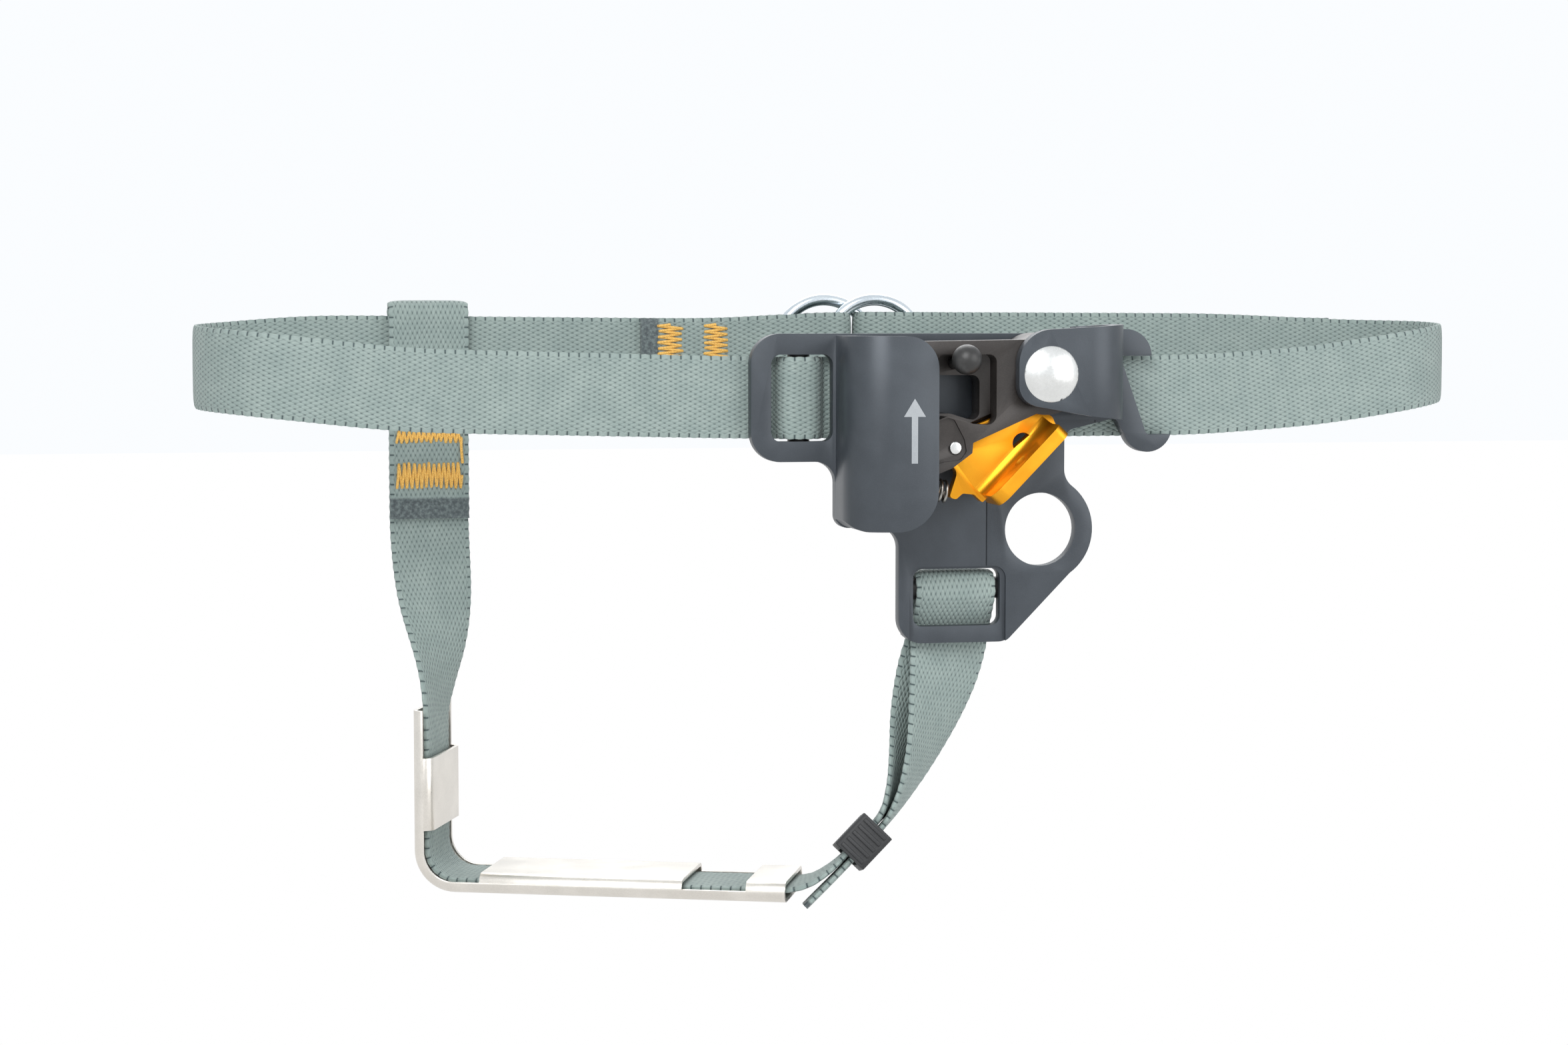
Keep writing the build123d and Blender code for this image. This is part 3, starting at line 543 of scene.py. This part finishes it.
def read_off(table: list[tuple[float, float]], at: float) -> float:
    """Straight interpolation in a table of rising (place, value) pairs."""
    if at <= table[0][0]:
        return table[0][1]
    for (a, low), (b, high) in zip(table, table[1:]):
        if at <= b:
            return low + (high - low) * (at - a) / (b - a)
    return table[-1][1]


@dataclass
class Ribbon:
    """Webbing laid along a line of places, each with the direction of its width."""

    name: str
    places: list[Vector]
    widths: list[Vector]
    width: float = 19.4
    thickness: float = 1.7
    around: int = 18
    knot_pitch: float = 2.4
    length: float = field(init=False, default=0.0)

    def outline(self) -> list[tuple[float, float]]:
        """The section's (across, through) places, flat with full rounded edges."""
        section = []
        for index in range(self.around):
            angle = 2 * math.pi * (index + 0.5) / self.around
            wide = math.copysign(abs(math.cos(angle)) ** 0.42, math.cos(angle))
            deep = math.copysign(abs(math.sin(angle)) ** 0.62, math.sin(angle))
            section.append((wide * self.width / 2, deep * self.thickness / 2))
        return section

    def build(self) -> bpy.types.Object:
        """Extrudes the section from place to place and unrolls the length on the UV map."""
        section = self.outline()
        mesh = bmesh.new()
        number = mesh.verts.layers.int.new("around")
        distance = mesh.verts.layers.float.new("along")
        ring = bmesh.ops.create_circle(mesh, segments=self.around, radius=1.0)["verts"]
        for index, vert in enumerate(ring):
            vert[number] = index
        edges = list(mesh.edges)
        travelled = 0.0
        for station, (place, wide) in enumerate(zip(self.places, self.widths)):
            ahead = self.places[min(station + 1, len(self.places) - 1)]
            behind = self.places[max(station - 1, 0)]
            heading = (ahead - behind).normalized()
            wide = (wide - heading * wide.dot(heading)).normalized()
            through = heading.cross(wide)
            if station:
                travelled += (place - self.places[station - 1]).length
                grown = bmesh.ops.extrude_edge_only(mesh, edges=edges)["geom"]
                ring = [item for item in grown if isinstance(item, bmesh.types.BMVert)]
                edges = [
                    item
                    for item in grown
                    if isinstance(item, bmesh.types.BMEdge) and all(v in set(ring) for v in item.verts)
                ]
            pulse = math.cos(2 * math.pi * travelled / mm(self.knot_pitch))
            for vert in ring:
                across, deep = section[vert[number]]
                rim = abs(across) / (self.width / 2)
                spread = 1 + 0.008 * pulse * rim**6
                crown = deep * (1 + 0.10 * pulse * rim**6)
                vert.co = place + wide * mm(across * spread) + through * mm(crown)
                vert[distance] = travelled
        self.length = travelled * 1000
        bmesh.ops.holes_fill(mesh, edges=[edge for edge in mesh.edges if edge.is_boundary])
        bmesh.ops.recalc_face_normals(mesh, faces=mesh.faces)
        chart = mesh.loops.layers.uv.new("strip")
        for face in mesh.faces:
            for corner in face.loops:
                across = section[corner.vert[number]][0]
                corner[chart].uv = (corner.vert[distance], mm(across))
        piece = object_of(self.name, mesh)
        soften(piece, 60.0)
        return piece


@dataclass
class Zigzag:
    """A bar of zigzag stitching, laid on webbing."""

    name: str
    start: Vector
    ahead: Vector
    aside: Vector
    lift: Vector
    advance: float
    swing: float
    stitches: int
    thread: float = 0.36
    seed: int = 3

    def build(self, connector: list[Vector] | None = None) -> bpy.types.Object:
        """Lays a round thread to and fro.

        Args:
            connector: more places that the thread goes on to.

        Returns:
            The thread as a mesh tube.
        """
        draw = random.Random(self.seed)
        places: list[Vector] = []
        for index in range(self.stitches + 1):
            share = index / self.stitches
            side = 1 if index % 2 else -1
            reach = self.swing / 2 * side + draw.uniform(-0.22, 0.22)
            centre = self.start + self.ahead * mm(self.advance * share + draw.uniform(-0.1, 0.1))
            top = centre + self.aside * mm(reach)
            places.append(top - self.lift * mm(0.35))
            places.append(top + self.lift * mm(0.12) - self.aside * mm(0.3 * side))
            middle = centre + self.ahead * mm(self.advance / self.stitches / 2)
            places.append(middle + self.lift * mm(0.24 + draw.uniform(0, 0.08)))
        places.extend(connector or [])
        curve = bpy.data.curves.new(self.name, "CURVE")
        curve.dimensions = "3D"
        curve.bevel_depth = mm(self.thread)
        curve.bevel_resolution = 2
        curve.resolution_u = 3
        spline = curve.splines.new("NURBS")
        spline.points.add(len(places) - 1)
        for point, place in zip(spline.points, places):
            point.co = (*place, 1.0)
        spline.order_u = 3
        spline.use_endpoint_u = True
        source = bpy.data.objects.new(self.name, curve)
        bpy.context.scene.collection.objects.link(source)
        data = bpy.data.meshes.new_from_object(source.evaluated_get(bpy.context.evaluated_depsgraph_get()))
        bpy.data.objects.remove(source)
        piece = bpy.data.objects.new(self.name, data)
        bpy.context.scene.collection.objects.link(piece)
        piece.data.shade_smooth()
        return piece


# ---- the ascender -----------------------------------------------------------------------


@dataclass
class Ascender:
    """The metal frame, its cam, trigger, rivets, springs and knob."""

    wardrobe: Wardrobe
    frame_ease: float = 0.35
    small_ease: float = 0.15
    arrow_length: float = 15.0
    arrow_width: float = 1.5

    def parts(self) -> list[tuple[str, str, float, Finish]]:
        """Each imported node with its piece's name, edge rounding and finish."""
        return [
            ("frame_body", "frame_shell", self.frame_ease, Finish.FRAME),
            ("pivot_rivet", "rivet_head", self.small_ease, Finish.RIVET),
            ("pivot_washer_front", "front_washer", self.small_ease, Finish.PLASTIC),
            ("pivot_washer_rear", "rear_washer", self.small_ease, Finish.PLASTIC),
            ("cam", "cam_casting", 0.22, Finish.CAM),
            ("cam_spring", "cam_coil", 0.0, Finish.COIL),
            ("trigger_lever", "gold_trigger", 0.28, Finish.LEVER),
            ("trigger_pin", "trigger_rivet", 0.1, Finish.RIVET),
            ("trigger_spring", "trigger_coil", 0.0, Finish.COIL),
            ("knob_stem", "knob_shank", self.small_ease, Finish.KNOB),
            ("cam_knob", "knob_ball", self.small_ease, Finish.KNOB),
            ("tab_lock_bar", "tab_bar", 0.3, Finish.PLASTIC),
            ("lower_lock_bar", "lower_bar", 0.3, Finish.PLASTIC),
        ]

    def arrow(self) -> bpy.types.Object:
        """Plain etched arrow on the channel's lip, pointing up the rope."""
        lip_y = -10.2
        centre_x = 4.6
        foot_z = -6.0
        head = 4.2
        half = self.arrow_width / 2
        top = foot_z + self.arrow_length
        outline = [
            (centre_x - half, foot_z),
            (centre_x + half, foot_z),
            (centre_x + half, top - head),
            (centre_x + head * 0.62, top - head),
            (centre_x, top),
            (centre_x - head * 0.62, top - head),
            (centre_x - half, top - head),
        ]
        mesh = bmesh.new()
        verts = [mesh.verts.new(spot(x, lip_y - 0.02, z)) for x, z in outline]
        face = mesh.faces.new(verts)
        grown = bmesh.ops.extrude_face_region(mesh, geom=[face])["geom"]
        moved = [item for item in grown if isinstance(item, bmesh.types.BMVert)]
        bmesh.ops.translate(mesh, verts=moved, vec=spot(0, 0.04, 0))
        bmesh.ops.recalc_face_normals(mesh, faces=mesh.faces)
        piece = object_of("rope_arrow", mesh)
        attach(piece, "frame")
        self.wardrobe.dress(piece, Finish.MARK)
        return piece

    def build(self) -> list[bpy.types.Object]:
        """Makes and dresses all the pieces."""
        made = []
        for node, name, ease, finish in self.parts():
            piece = eased_copy(node, name, ease)
            self.wardrobe.dress(piece, finish)
            made.append(piece)
        made.append(self.arrow())
        return made


# ---- the belt ---------------------------------------------------------------------------


@dataclass
class Belt:
    """Ankle belt: one webbing from its sewn fold round the ankle to its free tail."""

    wardrobe: Wardrobe
    step: float = 0.6
    thickness: float = 1.8
    front_y: float = 11.9
    back_y: float = 57.0
    left_x: float = -157.2
    right_x: float = 151.2
    ring_meet_x: float = 5.3
    pocket: float = 8.5
    tab_x: float = -18.3
    tab_y: float = 11.2
    wrap: float = 3.8
    end_z: float = 16.2

    def plan(self) -> tuple[list[tuple[float, float]], list[float]]:
        """The plan's corners and their radii."""
        layer = (self.thickness + 0.15) / 2
        outer, inner = self.back_y + layer, self.back_y - layer
        near, far = self.back_y - self.pocket / 2, self.back_y + self.pocket / 2
        left_turn, right_turn = self.ring_meet_x - 1.05, self.ring_meet_x + 1.05
        tab_front = self.tab_y - self.wrap
        tab_left, tab_right = self.tab_x - self.wrap, self.tab_x + self.wrap
        points = [
            (-48.5, inner),
            (-24.0, inner),
            (-16.0, near),
            (left_turn, near),
            (left_turn, far),
            (-16.0, far),
            (-24.0, outer),
            (self.left_x, outer),
            (self.left_x, self.front_y),
            (tab_left - 1.6, self.front_y),
            (tab_left + 0.2, tab_front),
            (tab_right - 0.2, tab_front),
            (tab_right + 1.6, self.front_y),
            (self.right_x, self.front_y),
            (self.right_x, inner),
            (33.0, inner),
            (25.0, near),
            (right_turn, near),
            (right_turn, far),
            (25.0, far),
            (33.0, outer + 0.2),
            (133.0, outer + 0.2),
        ]
        turn = self.pocket / 2 - 0.05
        radii = [9, 9, turn, turn, 9, 9, 21, 22, 1.4, 3.3, 3.3, 1.4, 22, 21, 9, 9, turn, turn, 9, 9]
        return points, radii

    def height(self, place: Vector) -> float:
        """Middle height of the webbing at a plan place, in millimetres."""
        x, y = place.x * 1000, place.y * 1000
        end = self.end_z
        front = [(-162, end), (-150, end - 0.8), (-110, 10.9), (-30, 8.8), (80, 8.8), (112, 11.0), (146, end)]
        back = [
            (-162, end),
            (-150, end + 0.6),
            (-130, 18.6),
            (-30, 17.7),
            (0, 19.4),
            (100, 19.0),
            (140, 17.2),
        ]
        share = min(1.0, max(0.0, (y - self.front_y - 8) / (self.back_y - self.front_y - 16)))
        share = share * share * (3 - 2 * share)
        return read_off(front, x) * (1 - share) + read_off(back, x) * share

    def webbing(self) -> bpy.types.Object:
        """The webbing itself."""
        points, radii = self.plan()
        corners = [spot(x, y, 0) for x, y in points]
        places = filleted(corners, [mm(r) for r in radii], mm(self.step))
        levels = smoothed([self.height(place) for place in places], 14)
        for place, level in zip(places, levels):
            place.z = mm(level)
        ribbon = Ribbon("belt_strap", places, [Vector((0, 0, 1))] * len(places))
        piece = ribbon.build()
        weave = Weave("belt_weave", ribbon.width, ribbon.length, 4.5, 1.2)
        piece.data.materials.append(weave.make())
        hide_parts("belt_webbing")
        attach(piece, "frame")
        return piece

    def stitches(self) -> list[bpy.types.Object]:
        """Two bars of stitching through the sewn end."""
        face_y = self.back_y - self.thickness - 0.1
        made = []
        for number, middle_x in enumerate((-41.2, -29.7)):
            bar = Zigzag(
                name=f"belt_stitch_{number + 1}",
                start=spot(middle_x, face_y, 10.2),
                ahead=Vector((0, 0, 1)),
                aside=Vector((1, 0, 0)),
                lift=Vector((0, -1, 0)),
                advance=15.4,
                swing=6.0,
                stitches=22,
                seed=5 + number,
            )
            piece = bar.build()
            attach(piece, "frame")
            self.wardrobe.dress(piece, Finish.THREAD)
            made.append(piece)
        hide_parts("belt_bartacks")
        return made

    def rings(self) -> list[bpy.types.Object]:
        """The two wire rings of the buckle."""
        made = []
        for node, name in (("buckle_ring_rear", "rear_ring"), ("buckle_ring_front", "front_ring")):
            piece = eased_copy(node, name, 0.0)
            self.wardrobe.dress(piece, Finish.RING)
            made.append(piece)
        return made

    def build(self) -> list[bpy.types.Object]:
        """Makes and dresses all the pieces."""
        return [self.webbing(), *self.stitches(), *self.rings()]


# ---- the stirrup ------------------------------------------------------------------------


@dataclass
class Stirrup:
    """Strap sewn round the belt, through the metal sole, round the lower bar and to its tail."""

    wardrobe: Wardrobe
    step: float = 0.6
    left_x: float = -101.0
    right_x: float = 19.7
    join_y: float = 57.9
    yaw: float = 21.5
    corner: Place = (-102.8, 50.0, -110.6)
    inset: float = 2.5
    sole_length: float = 90.9
    bar_y: float = 12.6
    bar_z: float = -37.1
    wrap: float = 3.8
    keeper: Place = (-1.7, 15.5, -98.4)
    keeper_slope: Place = (-0.706, 0.0, -0.708)

    def on_sole(self, along: float, up: float) -> Place:
        """A place on the sole's middle plane, in millimetres."""
        turn = math.radians(self.yaw)
        x, y, z = self.corner
        return (x + along * math.cos(turn), y - along * math.sin(turn), z + up)

    def by_keeper(self, side: int, along: float) -> Place:
        """Place of one of the keeper's two layers, at a distance from its centre."""
        slope = Vector(self.keeper_slope).normalized()
        normal = Vector((-slope.z, 0, slope.x))
        return tuple(Vector(self.keeper) + slope * along + normal * (side * 0.97))

    def route(self) -> list[tuple[Place, float, float | None]]:
        """The strap's corners: place, turn of its width in degrees and corner radius."""
        x, edge = self.left_x, 90 - self.yaw
        near = 57.0 - 2.1
        far = 57.0 + 3.15
        loop = [
            ((x, self.join_y - 1.95, -21.5), 0, 12),
            ((x, self.join_y - 1.95, 1.0), 0, 12),
            ((x, near, 7.0), 0, 12),
            ((x, near, 31.0), 0, 2.55),
            ((x, far, 31.0), 0, 2.55),
            ((x, far, 7.0), 0, 12),
            ((x, self.join_y, 1.0), 0, 12),
            ((x, self.join_y, -23.0), 0, None),
        ]
        arm_x, arm_y, _ = self.on_sole(self.inset, 0)
        left_leg = [
            ((-100.6, 57.6, -31.0), 5, None),
            ((-100.0, 56.2, -40.0), 16, None),
            ((-99.6, 53.8, -49.0), 36, None),
            ((-99.9, 51.2, -58.0), 56, None),
            ((arm_x, arm_y, -67.0), edge, None),
            ((arm_x, arm_y, -80.0), edge, None),
        ]
        sole = [
            (self.on_sole(self.inset, self.inset), edge, 7.5),
            (self.on_sole(self.sole_length + 2.5, self.inset), edge, None),
        ]
        main = [
            (self.by_keeper(-1, 9), edge, None),
            (self.by_keeper(-1, -9), edge, None),
            ((7.2, 16.2, -84.5), 60, None),
            ((10.4, 17.0, -76.0), 44, None),
            ((13.4, 17.4, -66.0), 26, None),
            ((16.8, 17.2, -56.0), 8, None),
        ]
        bar_x = self.right_x
        bar = [
            ((bar_x, self.bar_y + self.wrap, -48.5), 0, None),
            ((bar_x, self.bar_y + self.wrap, self.bar_z + self.wrap), 0, 3.75),
            ((bar_x, self.bar_y - self.wrap, self.bar_z + self.wrap), 0, 3.75),
            ((bar_x, self.bar_y - self.wrap, self.bar_z - 1.35), 0, 3.8),
            ((bar_x, 13.4, -46.0), 0, 2.5),
        ]
        tail = [
            ((18.6, 13.9, -56.0), 14, None),
            ((16.4, 14.1, -66.0), 32, None),
            ((13.6, 14.3, -75.5), 48, None),
            ((9.8, 14.8, -85.0), 61, None),
            (self.by_keeper(1, -9), edge, None),
            (self.by_keeper(1, 9), edge, None),
            ((-15.6, 15.9, -113.4), edge, None),
        ]
        return loop + left_leg + sole + main + bar + tail

    def strap(self) -> bpy.types.Object:
        """The whole strap as one webbing."""
        route = self.route()
        corners = [spot(*place) for place, _, _ in route]
        radii = [None if radius is None else mm(radius) for _, _, radius in route[1:-1]]
        places = filleted(corners, radii, mm(self.step))
        turns = self.turns(corners, [turn for _, turn, _ in route], places)
        widths = [Vector((math.cos(turn), math.sin(turn), 0)) for turn in turns]
        ribbon = Ribbon("stirrup_strap", places, widths)
        piece = ribbon.build()
        weave = Weave("stirrup_weave", ribbon.width, ribbon.length, 5.0, 1.5)
        piece.data.materials.append(weave.make())
        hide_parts("stirrup_webbing")
        self.hang(piece)
        return piece

    def turns(self, corners: list[Vector], degrees: list[float], places: list[Vector]) -> list[float]:
        """Turn of the width at each place, in radians, read off the corners in order."""
        found = []
        segment = 0
        for place in places:
            while segment < len(corners) - 2:
                onward = corners[segment + 2] - corners[segment + 1]
                inward = corners[segment + 1] - corners[segment]
                across = onward.normalized() + inward.normalized()
                if (place - corners[segment + 1]).dot(across) < 0:
                    break
                if (place - corners[segment + 1]).length > onward.length + inward.length:
                    break
                segment += 1
            start, end = corners[segment], corners[segment + 1]
            line = end - start
            share = min(1.0, max(0.0, (place - start).dot(line) / line.length_squared))
            found.append(math.radians(degrees[segment] * (1 - share) + degrees[segment + 1] * share))
        return smoothed(found, 5)

    def hang(self, piece: bpy.types.Object) -> None:
        """Works out a hinge below the frame's two hangers, but only bakes the piece's transform into its
        mesh.
        """
        left = Vector(spot(-101.0, 57.9, 18.0))
        right = Vector(spot(self.right_x, self.bar_y, self.bar_z))
        hinge = (right - left).normalized()
        down = Vector((0, 0, -1)) - hinge * Vector((0, 0, -1)).dot(hinge)
        down.normalize()
        tuple(left + down * mm(3))
        tuple(left + down * mm(32))
        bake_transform(piece)

    def stitches(self) -> list[bpy.types.Object]:
        """Two bars of stitching below the belt."""
        face_y = self.join_y - 1.95 - 0.9
        made = []
        for number, middle_z in enumerate((-1.4, -10.9)):
            swing = 2.8 if number == 0 else 6.0
            bar = Zigzag(
                name=f"stirrup_stitch_{number + 1}",
                start=spot(self.left_x - 8.0, face_y, middle_z),
                ahead=Vector((1, 0, 0)),
                aside=Vector((0, 0, 1)),
                lift=Vector((0, -1, 0)),
                advance=15.6,
                swing=swing,
                stitches=26,
                seed=11 + number,
            )
            link = [spot(self.left_x + 7.6, face_y - 0.2, -3.5), spot(self.left_x + 8.0, face_y - 0.2, -8.0)]
            piece = bar.build(link if number == 0 else None)
            self.wardrobe.dress(piece, Finish.THREAD)
            self.hang(piece)
            made.append(piece)
        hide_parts("stirrup_bartacks")
        return made

    def build(self) -> list[bpy.types.Object]:
        """Makes and dresses all the pieces."""
        sole = eased_copy("sole_plate", "metal_sole", 0.2)
        self.wardrobe.dress(sole, Finish.SOLE)
        keeper = eased_copy("strap_keeper", "rubber_keeper", 0.25)
        self.wardrobe.dress(keeper, Finish.RUBBER)
        return [self.strap(), *self.stitches(), sole, keeper]


# ---- studio -----------------------------------------------------------------------------


@dataclass
class Studio:
    """Camera, soft lamps, pale floor and world."""

    camera_place: Place = (-173.2, -701.3, 28.6)
    camera_turn: Place = (86.13, 0.0, -12.0)
    lens: float = 70.94
    sensor: float = 36.0
    floor_z: float = -135.0

    def camera(self) -> None:
        """Places the camera."""
        data = bpy.data.cameras.new("camera")
        data.lens = self.lens
        data.sensor_width = self.sensor
        data.clip_start = 0.01
        holder = bpy.data.objects.new("camera", data)
        holder.location = spot(*self.camera_place)
        holder.rotation_euler = [math.radians(angle) for angle in self.camera_turn]
        bpy.context.scene.collection.objects.link(holder)
        bpy.context.scene.camera = holder

    def lamp(self, name: str, place: Place, aim: Place, size: float, power: float) -> None:
        """Adds one square soft lamp aimed at a place, with its size in millimetres and power in watts."""
        data = bpy.data.lights.new(name, "AREA")
        data.size = mm(size)
        data.energy = power
        holder = bpy.data.objects.new(name, data)
        holder.location = spot(*place)
        holder.rotation_euler = (spot(*aim) - spot(*place)).to_track_quat("-Z", "Y").to_euler()
        bpy.context.scene.collection.objects.link(holder)

    def seen_white(self, recipe_tree: bpy.types.NodeTree) -> bpy.types.NodeSocket:
        """One for camera, glossy and transmission rays, which see plain white."""
        rays = recipe_tree.nodes.new("ShaderNodeLightPath")
        total = rays.outputs["Is Camera Ray"]
        for name in ("Is Glossy Ray", "Is Transmission Ray"):
            add = recipe_tree.nodes.new("ShaderNodeMath")
            add.operation = "MAXIMUM"
            recipe_tree.links.new(total, add.inputs[0])
            recipe_tree.links.new(rays.outputs[name], add.inputs[1])
            total = add.outputs[0]
        return total

    def world(self) -> None:
        """White to look at, and a softer grey to light by."""
        world = bpy.data.worlds.new("world")
        bpy.context.scene.world = world
        world.use_nodes = True
        tree = world.node_tree
        background = tree.nodes["Background"]
        background.inputs["Color"].default_value = (0.96, 0.98, 1.0, 1.0)
        level = tree.nodes.new("ShaderNodeMapRange")
        tree.links.new(self.seen_white(tree), level.inputs[0])
        level.inputs[3].default_value = 0.42
        level.inputs[4].default_value = 1.0
        tree.links.new(level.outputs[0], background.inputs["Strength"])

    def floor(self) -> None:
        """Pale floor under the object."""
        mesh = bmesh.new()
        bmesh.ops.create_grid(mesh, x_segments=1, y_segments=1, size=3.0)
        bmesh.ops.translate(mesh, verts=mesh.verts, vec=spot(0, 0, self.floor_z))
        piece = object_of("floor", mesh)
        recipe = Recipe("pale_floor")
        recipe.finish(base_color=rgba((0.9, 0.9, 0.9)), roughness=0.9)
        glow = recipe.node("ShaderNodeEmission", {}, {"Color": rgba((1.0, 1.0, 1.0)), "Strength": 1.0})
        mixer = recipe.node("ShaderNodeMixShader", {}, {1: recipe.shader.outputs[0], 2: glow.outputs[0]})
        recipe.tree.links.new(self.seen_white(recipe.tree), mixer.inputs[0])
        recipe.tree.links.new(mixer.outputs[0], recipe.tree.nodes["Material Output"].inputs[0])
        piece.data.materials.append(recipe.material)

    def build(self) -> None:
        """Sets up everything that isn't the object."""
        self.camera()
        self.world()
        self.floor()
        self.lamp("key", (-450, -900, 650), (0, 20, -20), 700, 11)
        self.lamp("fill", (700, -700, 200), (0, 20, -20), 800, 4.5)
        self.lamp("rim", (100, 700, 700), (0, 20, -20), 800, 5.5)
        bpy.context.scene.view_settings.view_transform = "Standard"


# ---- main -------------------------------------------------------------------------------

def main() -> None:
    """Builds the object and its studio."""
    logging.basicConfig(level=logging.INFO, format="%(name)s: %(message)s")
    Studio().build()
    wardrobe = Wardrobe()
    for assembly in (Ascender(wardrobe), Belt(wardrobe), Stirrup(wardrobe)):
        for piece in assembly.build():
            LOG.info("%s: %d faces", piece.name, len(piece.data.polygons))
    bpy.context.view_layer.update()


if __name__ == "__main__":
    main()
